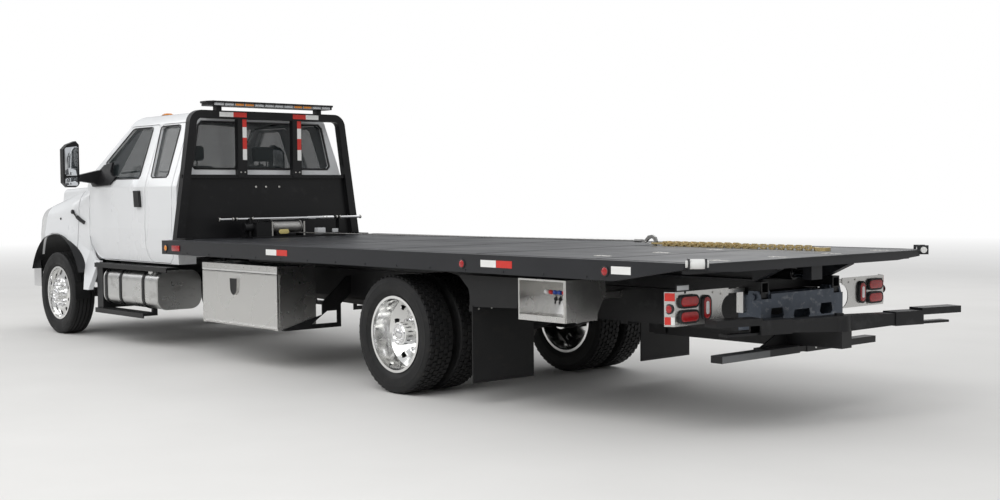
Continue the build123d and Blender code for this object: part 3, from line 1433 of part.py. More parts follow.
def build_boom():
    half = boom_size / 2
    tube = box(boom_rear_x, boom_pivot_x + 60, -half, half, boom_pivot_z - half, boom_pivot_z + half)
    tube -= box(boom_rear_x - 1, boom_pivot_x - 80, -half + boom_wall, half - boom_wall,
                boom_pivot_z - half + boom_wall, boom_pivot_z + half - boom_wall)
    tube -= rod_y(boom_pivot_x, boom_pivot_z, 24 + run_gap, -200, 200)
    # Wide stabiliser feet under the boom's end
    tube += box(boom_rear_x - 90, boom_rear_x + 60, -half - 12, half + 12, 478, boom_pivot_z - half + 4)
    feet = box(boom_rear_x - 95, boom_rear_x - 5, 50, 875, 472, 518)
    feet += box(boom_rear_x - 95, boom_rear_x - 5, -855, -30, 472, 518)
    for side in (-1, 1):
        feet += box(boom_rear_x - 80, boom_rear_x + 40, side * 40, side * 380, 500, 522)
        gusset = [(side * 60, 520), (side * 360, 520), (side * 80, 640)]
        feet += front_prism(gusset, boom_rear_x + gusset_gap, boom_rear_x + gusset_gap + gusset_thick)
    return tube + feet


def build_inner_boom():
    half = boom_size / 2 - boom_wall - seat_gap
    tube = box(-3160, -2050, -half, half, boom_pivot_z - half, boom_pivot_z + half)
    tube -= box(-3100, -2040, -half + 12, half - 12, boom_pivot_z - half + 12, boom_pivot_z + half - 12)
    head = box(swivel_x - 60, -3140, -half, half, boom_pivot_z - half, boom_pivot_z + half)
    head += rod_z(swivel_x, 0, half, boom_pivot_z - half, boom_pivot_z + half)
    pin = rod_z(swivel_x, 0, 30, boom_pivot_z, 752)
    return tube + head + pin


def build_crossbar():
    """Drawn straight along Y round its pivot, then turned to its parked angle."""
    z0 = boom_pivot_z + boom_size / 2 - boom_wall + seat_gap
    bar = front_prism([(-470, 655), (-60, z0), (60, z0), (470, 655), (470, 733), (60, 738), (-60, 738), (-470, 733)],
                      -55, 55)
    hub = rod_z(0, 0, 78, z0, 738)
    whole = bar + hub
    for side in (-1, 1):
        case = box(-62, 62, side * 440, side * 690, 648, 742)
        case -= box(-46, 46, side * 560, side * 700, 662, 728)
        top = box(-62, 62, side * 680, side * crossbar_half, 712, 758)
        low = box(-40, 40, side * 680, side * (crossbar_half - 90), 648, 664)
        whole += case + top + low
    whole -= rod_z(0, 0, 30 + run_gap, 500, 900)
    whole = Rot(0, 0, crossbar_yaw) * whole
    return Pos(swivel_x, 0, 0) * whole


# Lift cylinder between the tail crossmember and the boom
lift_base_x = -1960
lift_base_z = 800
lift_eye_x = -2560
lift_eye_z = 690


def lift_along(distance):
    dx = lift_eye_x - lift_base_x
    dz = lift_eye_z - lift_base_z
    length = hypot(dx, dz)
    return lift_base_x + dx / length * distance, lift_base_z + dz / length * distance, length


def build_lift_barrel():
    length = lift_along(0)[2]
    x0, z0, _ = lift_along(20)
    x1, z1, _ = lift_along(length - 150)
    barrel = rod_between((x0, 0, z0), (x1, 0, z1), 45) + rod_y(lift_base_x, lift_base_z, 34, -28, 28)
    xa, za, _ = lift_along(50)
    xb, zb, _ = lift_along(length - 149)
    barrel -= rod_between((xa, 0, za), (xb, 0, zb), 24 + run_gap)
    barrel -= rod_y(lift_base_x, lift_base_z, 16 + run_gap, -60, 60)
    return barrel


def build_lift_rod():
    length = lift_along(0)[2]
    x0, z0, _ = lift_along(90)
    x1, z1, _ = lift_along(length - 30)
    rod = rod_between((x0, 0, z0), (x1, 0, z1), 24) + rod_y(lift_eye_x, lift_eye_z, 36, -28, 28)
    rod -= rod_y(lift_eye_x, lift_eye_z, 16 + 4, -60, 60)
    return rod


def lift_base_bracket():
    parts = [box(lift_base_x - 40, lift_base_x + 60, -frame_half + rail_thick, frame_half - rail_thick, 852, 872)]
    for side in (-1, 1):
        parts.append(box(lift_base_x - 35, lift_base_x + 35, side * 52, side * 66, lift_base_z - 30, 860))
    parts.append(rod_y(lift_base_x, lift_base_z, 16, -60, 60))
    return fuse(parts)


def boom_ears():
    parts = []
    for side in (-1, 1):
        parts.append(box(lift_eye_x - 40, lift_eye_x + 40, side * 30, side * 44, boom_pivot_z + boom_size / 2 - 4,
                         lift_eye_z + 26))
    parts.append(rod_y(lift_eye_x, lift_eye_z, 16, -44, 44))
    return fuse(parts)


# Mirrors and handles ride on the front doors
mirror_x = 5570
mirror_depth = 80
mirror_inner_y = 1215
mirror_outer_y = 1395
mirror_low = 1655
mirror_high = 2155
sail_thick = 24


def build_mirror():
    rear = mirror_x
    front = mirror_x + mirror_depth
    head = front_prism([(mirror_inner_y, mirror_low + 40), (mirror_inner_y + 40, mirror_low),
                        (mirror_outer_y - 50, mirror_low), (mirror_outer_y, mirror_low + 50),
                        (mirror_outer_y, mirror_high - 90), (mirror_outer_y - 50, mirror_high - 38),
                        (mirror_inner_y + 36, mirror_high), (mirror_inner_y, mirror_high - 40)], rear, front)
    arm = front_prism([(930, 1680), (mirror_inner_y + 10, 1722), (mirror_inner_y + 10, 1786), (1010, 1836),
                       (930, 1850)], rear - 20, front - 10)
    arm -= cab_solid(-sail_thick / 2, 0, cab_bottom)
    sail = [(5337, 1920), (5327, 1826), (5254, 1777), (5165, 1763), (5259, 1676), (5658, 1660), (5735, 1704),
            (5728, 1738), (5523, 1895)]
    return head + arm + (side_skin(-sail_thick, -seat_gap) & side_prism(sail, 700, 1300))


def build_handle():
    return side_skin(-32, -seat_gap) & side_prism([(4545, 1440), (4655, 1440), (4680, 1610), (4570, 1610)], 700, 1300)


# Build every node
skin_solid = front_skin()
frame_solid = build_frame() + hood_hinge_brackets() + barrel_brackets() + lift_base_bracket() + build_boom_carrier()
frame_solid += rod_y(boom_pivot_x, boom_pivot_z, 24, -86, 86)
nodes["frame"] = frame_solid
nodes["powertrain"] = build_powertrain()
nodes["front_axle"] = build_front_axle()
nodes["rear_axle"] = build_rear_axle()
nodes["cab"] = build_cab()
screen, back_pane = build_cab_glass()
nodes["cab_glass"] = [screen, back_pane]
seats, bench = build_interior()
nodes["seats"] = seats + [bench]
nodes["dashboard"] = build_dash()
nodes["bumper"] = build_bumper()
nodes["fuel_tank"] = build_tank()
nodes["side_steps"] = [build_left_steps(), build_right_steps()]
nodes["toolboxes"] = both_sides(toolbox_shell())
nodes["mud_flaps"] = both_sides(build_flap())
nodes["control_stations"] = both_sides(build_control())
nodes["tail_frame"] = build_tail_frame()
nodes["tail_panels"] = both_sides(build_tail_panel())
lamps = build_tail_lamps()
nodes["tail_lamps"] = lamps + [other_side(lamp) for lamp in lamps]

nodes["hood"] = build_hood()
nodes["grille"] = build_grille()
nodes["headlamps"] = both_sides(build_headlamp())

front_door, front_pane = make_door(front_door_outline, front_window, door_front_x, -1)
rear_door, rear_pane = make_door(rear_door_outline, rear_window, door_rear_x, 1)
mirror_left = [build_mirror(), build_handle()]
for name, turn in (("left", lambda s: s), ("right", other_side)):
    nodes["front_door_" + name] = turn(front_door)
    nodes["front_glass_" + name] = turn(front_pane)
    nodes["mirror_" + name] = [turn(piece) for piece in mirror_left]
    nodes["rear_door_" + name] = turn(rear_door)
    nodes["rear_glass_" + name] = turn(rear_pane)
    nodes["toolbox_door_" + name] = turn(toolbox_door())
    nodes["knuckle_" + name] = turn(build_knuckle())
    nodes["front_rim_" + name] = turn(build_front_rim())
    nodes["front_tyre_" + name] = turn(tyre_ring(wheelbase, front_wheel_y, axle_z))
    nodes["rear_rims_" + name] = turn(build_rear_rims())
    nodes["rear_tyres_" + name] = [turn(tyre_ring(0, dual_inner_y, axle_z)), turn(tyre_ring(0, dual_outer_y, axle_z))]
nodes["tie_rod"] = build_tie_rod()

nodes["tilt_frame"] = build_tilt_frame()
nodes["tilt_barrels"] = build_tilt_barrels()
nodes["tilt_rods"] = build_tilt_rods()
nodes["deck"] = build_deck()
nodes["slide_rod"] = build_slide_rod()
nodes["tail_rollers"] = build_tail_rollers()
nodes["headboard"] = build_headboard()
nodes["light_bar"] = build_light_bar()
nodes["winch_frame"] = build_winch_frame()
nodes["winch_drum"] = build_winch_drum()
nodes["winch_cable"] = build_winch_cable()
nodes["chain_bridle"] = build_chain_bridle()

nodes["lift_boom"] = build_boom() + boom_ears()
nodes["lift_inner_boom"] = build_inner_boom()
nodes["crossbar"] = build_crossbar()
nodes["lift_barrel"] = build_lift_barrel()
nodes["lift_rod"] = build_lift_rod()

# Origin below the middle of the whole: between the bumper's face and the crossbar's rearmost corner
rear_reach = crossbar_half * sin(radians(abs(crossbar_yaw))) + 62 * cos(radians(crossbar_yaw))
middle_x = (bumper_front_x + swivel_x - rear_reach) / 2

os.makedirs("parts", exist_ok=True)
for name, shape in nodes.items():
    pieces = shape if isinstance(shape, list) else [shape]
    solids = []
    for piece in pieces:
        solids.extend(piece.solids())
    moved = Pos(-middle_x, 0, 0) * Compound(children=solids)
    export_step(moved, "parts/" + name + ".step")
print("middle_x", middle_x, "nodes", len(nodes))
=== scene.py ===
"""Finishes and fittings of a flatbed tow truck, on a fixed frame of its solids."""
import json
from math import cos, pi, radians, sin

import bmesh
import bpy
from bpy.props import FloatProperty, FloatVectorProperty, IntProperty, PointerProperty
from bpy.types import Operator, Panel, PropertyGroup
from mathutils import Matrix, Vector


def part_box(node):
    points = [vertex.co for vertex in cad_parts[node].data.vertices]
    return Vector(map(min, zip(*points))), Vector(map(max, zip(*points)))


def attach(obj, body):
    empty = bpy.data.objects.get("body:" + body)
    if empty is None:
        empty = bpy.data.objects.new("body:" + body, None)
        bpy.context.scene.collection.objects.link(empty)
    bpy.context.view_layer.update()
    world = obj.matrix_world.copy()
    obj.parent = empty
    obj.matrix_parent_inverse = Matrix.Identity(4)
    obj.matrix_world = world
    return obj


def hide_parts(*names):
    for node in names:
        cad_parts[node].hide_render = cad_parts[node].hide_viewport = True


bl_info = {
    "name": "Flatbed tow truck",
    "version": (1, 0, 0),
    "blender": (4, 5, 0),
    "location": "3D View > Sidebar > Tow truck",
    "description": "Adds the finishes, tyres, trim, lamps, rigging and stage of a flatbed tow truck",
    "category": "Object",
}

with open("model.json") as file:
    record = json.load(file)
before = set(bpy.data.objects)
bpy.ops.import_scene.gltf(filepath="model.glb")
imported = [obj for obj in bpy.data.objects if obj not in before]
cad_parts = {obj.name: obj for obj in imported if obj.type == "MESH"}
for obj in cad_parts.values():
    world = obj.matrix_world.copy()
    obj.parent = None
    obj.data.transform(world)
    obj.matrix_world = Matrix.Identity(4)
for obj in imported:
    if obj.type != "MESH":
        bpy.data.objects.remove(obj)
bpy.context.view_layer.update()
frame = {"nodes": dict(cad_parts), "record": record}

# The drawing is in millimetres from the ground under the rear axle, and the frame in metres from the
# vehicle's middle
WHEELBASE = 6375
FRONT_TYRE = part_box("front_tyre_left")
SHIFT = WHEELBASE / 1000 - (FRONT_TYRE[0][0] + FRONT_TYRE[1][0]) / 2
AXLE_Z = 464
TYRE_RADIUS = 463.6
DECK_TOP = 1124
DECK_HALF = 1295.5
BESIDE = 1500  # where a line of sight starts, beside the vehicle
AHEAD = 9000  # and in front of it
SIDES = (("left", 1), ("right", -1))
FINISH = {}


# Places and small modelling steps
def at(x, y, z):
    """Scene place, in metres, of a drawing place in millimetres."""
    return Vector((x / 1000 - SHIFT, y / 1000, z / 1000))


def drawn(place):
    """Drawing place, in millimetres, of a scene place."""
    return (place[0] + SHIFT) * 1000, place[1] * 1000, place[2] * 1000


def free():
    """Back to object mode with nothing selected."""
    if bpy.context.object and bpy.context.object.mode != "OBJECT":
        bpy.ops.object.mode_set(mode="OBJECT")
    bpy.ops.object.select_all(action="DESELECT")


def pick(piece):
    free()
    piece.select_set(True)
    bpy.context.view_layer.objects.active = piece


def settle(piece):
    """Puts the piece's place, turn and size into its mesh."""
    pick(piece)
    bpy.ops.object.transform_apply(location=True, rotation=True, scale=True)
    return piece


def edit(piece, kind="FACE", everything=True):
    pick(piece)
    bpy.ops.object.mode_set(mode="EDIT")
    bpy.ops.mesh.select_mode(type=kind)
    bpy.ops.mesh.select_all(action="SELECT" if everything else "DESELECT")


def leave_edit():
    bpy.ops.object.mode_set(mode="OBJECT")


def turn_faces_out():
    """In edit mode: selects everything and turns its faces outwards."""
    bpy.ops.mesh.select_all(action="SELECT")
    bpy.ops.mesh.normals_make_consistent(inside=False)


def choose(piece, test):
    """Enters edit mode with the faces that pass the test selected."""
    edit(piece, everything=False)
    mesh = bmesh.from_edit_mesh(piece.data)
    for face in mesh.faces:
        face.select_set(bool(test(face)))
    mesh.select_flush_mode()
    bmesh.update_edit_mesh(piece.data)


def inset(piece, test, width, depth):
    """Insets the faces that pass the test, and raises them by depth, both in millimetres."""
    choose(piece, test)
    bpy.ops.mesh.inset(thickness=width / 1000, depth=depth / 1000)
    leave_edit()


def soften(piece, width, segments=2, sharpness=50):
    """Bevels the piece's sharp edges by a width in millimetres."""
    edit(piece, "EDGE", everything=False)
    bpy.ops.mesh.edges_select_sharp(sharpness=radians(sharpness))
    bpy.ops.mesh.bevel(offset=width / 1000, segments=segments)
    leave_edit()
    return piece


def block(one, other, edge=2.0, segments=2, turn=(0, 0, 0)):
    """Box between two opposite drawing corners with softened edges, turned about its middle in degrees."""
    free()
    a = at(*map(min, one, other))
    b = at(*map(max, one, other))
    bpy.ops.mesh.primitive_cube_add(size=1, location=(a + b) / 2, scale=b - a,
                                    rotation=[radians(t) for t in turn])
    return soften(settle(bpy.context.object), edge, segments)


TURN = {"X": (0, pi / 2, 0), "Y": (pi / 2, 0, 0), "Z": (0, 0, 0)}
WAY = {"X": (1, 0, 0), "Y": (0, 1, 0), "Z": (0, 0, 1)}


def disc(centre, axis, radius, depth, edge=1.5, sides=24, segments=2):
    """Round bar or plate along an axis, with softened rims."""
    free()
    bpy.ops.mesh.primitive_cylinder_add(vertices=sides, radius=radius / 1000, depth=depth / 1000,
                                        location=at(*centre), rotation=TURN[axis])
    return soften(settle(bpy.context.object), edge, segments, 60)


def bolt(centre, axis, radius, depth, edge=1.0, sides=6):
    """Bolt head, six-sided unless said."""
    return disc(centre, axis, radius, depth, edge, sides, 1)


def trace(points, fill=False, closed=False):
    """Line through scene places, drawn one point after another, filled to a face if asked."""
    free()
    bpy.ops.mesh.primitive_plane_add(size=0.01, location=points[0])
    piece = settle(bpy.context.object)
    edit(piece, "VERT")
    bpy.ops.mesh.merge(type="CENTER")
    for a, b in zip(points, points[1:]):
        bpy.ops.mesh.extrude_region_move(TRANSFORM_OT_translate={"value": b - a})
    if fill:
        bpy.ops.mesh.select_all(action="SELECT")
        bpy.ops.mesh.edge_face_add()
    elif closed:
        mesh = bmesh.from_edit_mesh(piece.data)
        for v in mesh.verts:
            v.select_set(min((v.co - points[0]).length, (v.co - points[-1]).length) < 1e-6)
        bmesh.update_edit_mesh(piece.data)
        bpy.ops.mesh.edge_face_add()
    leave_edit()
    return piece


def slab(outline, plane, level, thick, edge=0.0):
    """Plate cut to an outline in plane XY, XZ or YZ, from a level along the third axis by its thickness."""
    third = {"XY": 2, "XZ": 1, "YZ": 0}[plane]
    piece = trace([at(*pair[:third], level, *pair[third:]) for pair in map(tuple, outline)], fill=True)
    edit(piece)
    way = Vector(WAY["XYZ"[third]])
    bpy.ops.mesh.extrude_region_move(TRANSFORM_OT_translate={"value": way * thick / 1000})
    turn_faces_out()
    leave_edit()
    return soften(piece, edge) if edge else piece


def spun(profile, centre, axis="Y", steps=32):
    """Turned shape about an axis through centre, from pairs of distance along the axis and radius."""
    way = Vector(WAY[axis])
    out = Vector(WAY["X" if axis == "Z" else "Z"])
    middle = at(*centre)
    piece = trace([middle + way * a / 1000 + out * r / 1000 for a, r in profile])
    edit(piece, "VERT")
    bpy.ops.mesh.spin(steps=steps, angle=2 * pi, center=middle, axis=way)
    bpy.ops.mesh.select_all(action="SELECT")
    bpy.ops.mesh.remove_doubles(threshold=0.00002)
    turn_faces_out()
    leave_edit()
    return piece


def bead(points, radius, closed=False):
    """Round bead or rod of a radius in millimetres along scene places."""
    pick(trace(points, closed=closed))
    bpy.ops.object.convert(target="CURVE")
    line = bpy.context.object.data
    line.bevel_depth = radius / 1000
    line.bevel_resolution = 1
    line.use_fill_caps = True
    bpy.ops.object.convert(target="MESH")
    return settle(bpy.context.object)


def rod(places, radius, closed=False):
    """Bead along drawing places."""
    return bead([at(*place) for place in places], radius, closed)


def joined(pieces):
    """One piece of several."""
    pick(pieces[0])
    for piece in pieces[1:]:
        piece.select_set(True)
    if len(pieces) > 1:
        bpy.ops.object.join()
    return settle(bpy.context.object)


def placed(piece, steps):
    """Copies of the piece, each moved by one of the steps in millimetres, in place of the piece itself."""
    made = []
    for step in steps:
        pick(piece)
        bpy.ops.object.duplicate()
        bpy.ops.transform.translate(value=Vector(step) / 1000)
        made.append(bpy.context.object)
    pick(piece)
    bpy.ops.object.delete()
    return joined(made)


def ringed(piece, centre, axis, count):
    """The piece repeated round an axis."""
    edit(piece)
    bpy.ops.mesh.spin(steps=count - 1, dupli=True, angle=2 * pi * (count - 1) / count, center=at(*centre),
                      axis=WAY[axis])
    leave_edit()
    return piece


def turned(piece, angle, axis, centre):
    """The piece turned by degrees about an axis through a drawing place."""
    edit(piece)
    bpy.ops.transform.rotate(value=radians(angle), orient_axis=axis, center_override=at(*centre))
    leave_edit()
    return piece


def other_side(piece):
    """A copy of the piece mirrored to the other side of the vehicle."""
    pick(piece)
    bpy.ops.object.duplicate()
    twin = bpy.context.object
    bpy.ops.transform.resize(value=(1, -1, 1), center_override=(0, 0, 0))
    settle(twin)
    edit(twin)
    turn_faces_out()
    leave_edit()
    return twin


def both(piece):
    return joined([piece, other_side(piece)])


def done(made, name, body, slot, finish=None, angle=35, hides=()):
    """Finishes one piece of what was made: name, shading and material, and the body that it rides on."""
    piece = joined(made) if isinstance(made, list) else settle(made)
    piece.name = name
    piece.data.name = name
    edit(piece)
    turn_faces_out()
    leave_edit()
    bpy.ops.object.shade_smooth_by_angle(angle=radians(angle))
    piece.data.materials.clear()
    piece.data.materials.append(FINISH[finish or slot])
    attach(piece, body)
    if hides:
        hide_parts(*hides)
    free()
    return piece


def meet(nodes, start, way):
    """Drawing place where a line from start meets the first of the named CAD nodes that lies in its way."""
    for node in nodes.split():
        hit, place, _, _ = frame["nodes"][node].ray_cast(at(*start), Vector(way))
        if hit:
            return drawn(place)
    raise RuntimeError("no surface of %s beyond %s" % (nodes, start))


def meet_side(nodes, x, z, s):
    """Where a line from beside the vehicle meets the nodes, on the side s."""
    return meet(nodes, (x, s * BESIDE, z), (0, -s, 0))


def arc(centre, radius, first, last, steps):
    """Pairs along a circle, between two angles in degrees."""
    angles = [radians(first + (last - first) * i / steps) for i in range(steps + 1)]
    return [(centre[0] + radius * cos(angle), centre[1] + radius * sin(angle)) for angle in angles]


def through(first, middle, last, steps=8):
    """Pairs on the arc through three pairs."""
    (ax, ay), (bx, by), (cx, cy) = first, middle, last
    a, b, c = ax ** 2 + ay ** 2, bx ** 2 + by ** 2, cx ** 2 + cy ** 2
    d = 2 * (ax * (by - cy) + bx * (cy - ay) + cx * (ay - by))
    centre = Vector(((a * (by - cy) + b * (cy - ay) + c * (ay - by)) / d,
                     (a * (cx - bx) + b * (ax - cx) + c * (bx - ax)) / d))
    start, half, end = (Vector(pair) - centre for pair in (first, middle, last))
    turn = -start.angle_signed(half) - half.angle_signed(end)
    angles = [turn * i / steps for i in range(steps + 1)]
    return [(centre.x + start.x * cos(t) - start.y * sin(t), centre.y + start.x * sin(t) + start.y * cos(t))
            for t in angles]


def grown(outline, by):
    """The closed outline moved outwards by a width, corner by corner."""
    corners = [Vector(pair) for pair in outline]
    area = sum(corners[i - 1].cross(corners[i]) for i in range(len(corners)))
    side = 1 if area > 0 else -1
    moved = []
    for before, corner, after in zip(corners[-1:] + corners, corners, corners[1:] + corners[:1]):
        first = (corner - before).normalized()
        way = first + (after - corner).normalized()
        out = Vector((way.y, -way.x)).normalized() * side
        share = max(0.5, out.dot(Vector((first.y, -first.x)) * side))
        moved.append(tuple(corner + out * by / share))
    return moved


def rounded(a, b, da, db, radius, steps=6):
    """Closed outline round (a, b) with corners rounded about the pairs da and db from there."""
    outline = []
    for quarter, (sa, sb) in enumerate(((1, 1), (-1, 1), (-1, -1), (1, -1))):
        outline += arc((a + sa * da, b + sb * db), radius, 90 * quarter, 90 * quarter + 90, steps)
    return [p for p, q in zip(outline, outline[1:] + outline[:1]) if (Vector(p) - Vector(q)).length > 0.01]


def oval(a, b, width, height, steps=6):
    """Outline of a rounded lamp round (a, b)."""
    radius = min(width, height) / 2
    return rounded(a, b, width / 2 - radius, height / 2 - radius, radius, steps)


def rectangle(a0, a1, b0, b1):
    return [(a0, b0), (a1, b0), (a1, b1), (a0, b1)]


# Finishes
def add_node(tree, kind, mode=(), **values):
    """New node of a shader tree. In the names of its inputs an underscore stands for a space."""
    node = tree.nodes.new("ShaderNode" + kind)
    for name, value in dict(mode).items():
        setattr(node, name, value)
    for name, value in values.items():
        node.inputs[name.replace("_", " ")].default_value = value
    return node


def wire(tree, *rows):
    """Links of a shader tree, each row being a node, its output, a node and its input."""
    for source, output, target, into in rows:
        tree.links.new(source.outputs[output], target.inputs[into])


COLOURS = {"data_type": "RGBA"}
COAT_ROUGHNESS = 0.06


def finish_of(name, colour, rough, metal=0.0, mottle=0.08, patch=5.0, uneven=0.06, relief=0.1, grain=300.0,
              depth=0.0006, stretch=(1, 1, 1), coat=0.0, see_through=1.0, shine=0.5):
    """Finish with patches of uneven colour and gloss and a fine grain, on object coordinates in metres."""
    FINISH[name] = bpy.data.materials.new(name)
    FINISH[name].use_nodes = True
    tree = FINISH[name].node_tree
    shader = tree.nodes["Principled BSDF"]
    for field, value in (("Metallic", metal), ("Specular IOR Level", shine), ("Coat Weight", coat),
                         ("Coat Roughness", COAT_ROUGHNESS), ("Alpha", see_through)):
        shader.inputs[field].default_value = value
    where = add_node(tree, "TexCoord")
    scaled = add_node(tree, "Mapping", Scale=stretch)
    broad = add_node(tree, "TexNoise", Scale=patch, Detail=4)
    fine = add_node(tree, "TexNoise", Scale=grain, Detail=3)
    dark = [c * (1 - mottle) for c in colour]
    pale = [min(1, c * (1 + mottle) + mottle * 0.02) for c in colour]
    tone = add_node(tree, "Mix", COLOURS, A=(*dark, 1), B=(*pale, 1))
    gloss = add_node(tree, "MapRange", From_Min=0.3, From_Max=0.7, To_Min=max(0.02, rough - uneven),
                     To_Max=min(1, rough + uneven))
    bump = add_node(tree, "Bump", Strength=relief, Distance=depth)
    wire(tree, (where, "Object", scaled, "Vector"), (where, "Object", broad, "Vector"),
         (scaled, "Vector", fine, "Vector"), (broad, "Fac", tone, "Factor"),
         (tone, "Result", shader, "Base Color"),
         (broad, "Fac", gloss, "Value"), (gloss, "Result", shader, "Roughness"),
         (fine, "Fac", bump, "Height"),
         (bump, "Normal", shader, "Normal"))


def wear(name, colour, rough, limits, stretch, scale, above=None):
    """Lays a second colour and gloss where a noise passes its limits, above a height if one is given: on the
    deck's top, scuff wear with a painted bluish sheen.
    """
    tree = FINISH[name].node_tree
    shader = tree.nodes["Principled BSDF"]
    first_noise, full_noise, most = limits
    where = add_node(tree, "TexCoord")
    scaled = add_node(tree, "Mapping", Scale=stretch)
    noise = add_node(tree, "TexNoise", Scale=scale, Detail=6, Roughness=0.62)
    mask = add_node(tree, "MapRange", From_Min=first_noise, From_Max=full_noise, To_Max=most)
    wire(tree, (where, "Object", scaled, "Vector"), (scaled, "Vector", noise, "Vector"),
         (noise, "Fac", mask, "Value"))
    amount = mask.outputs["Result"]
    if above is not None:
        split = add_node(tree, "SeparateXYZ")
        over = add_node(tree, "Math", {"operation": "GREATER_THAN"})
        over.inputs[1].default_value = above
        limited = add_node(tree, "Math", {"operation": "MULTIPLY"})
        wire(tree, (where, "Object", split, "Vector"), (split, "Z", over, 0), (mask, "Result", limited, 0),
             (over, "Value", limited, 1))
        amount = limited.outputs["Value"]
    for field, kind, value in (("Base Color", "RGBA", (*colour, 1)), ("Roughness", "FLOAT", rough)):
        under = shader.inputs[field].links[0].from_socket
        mix = add_node(tree, "Mix", {"data_type": kind}, B=value)
        tree.links.new(amount, mix.inputs["Factor"])
        tree.links.new(under, mix.inputs["A"])
        wire(tree, (mix, "Result", shader, field))


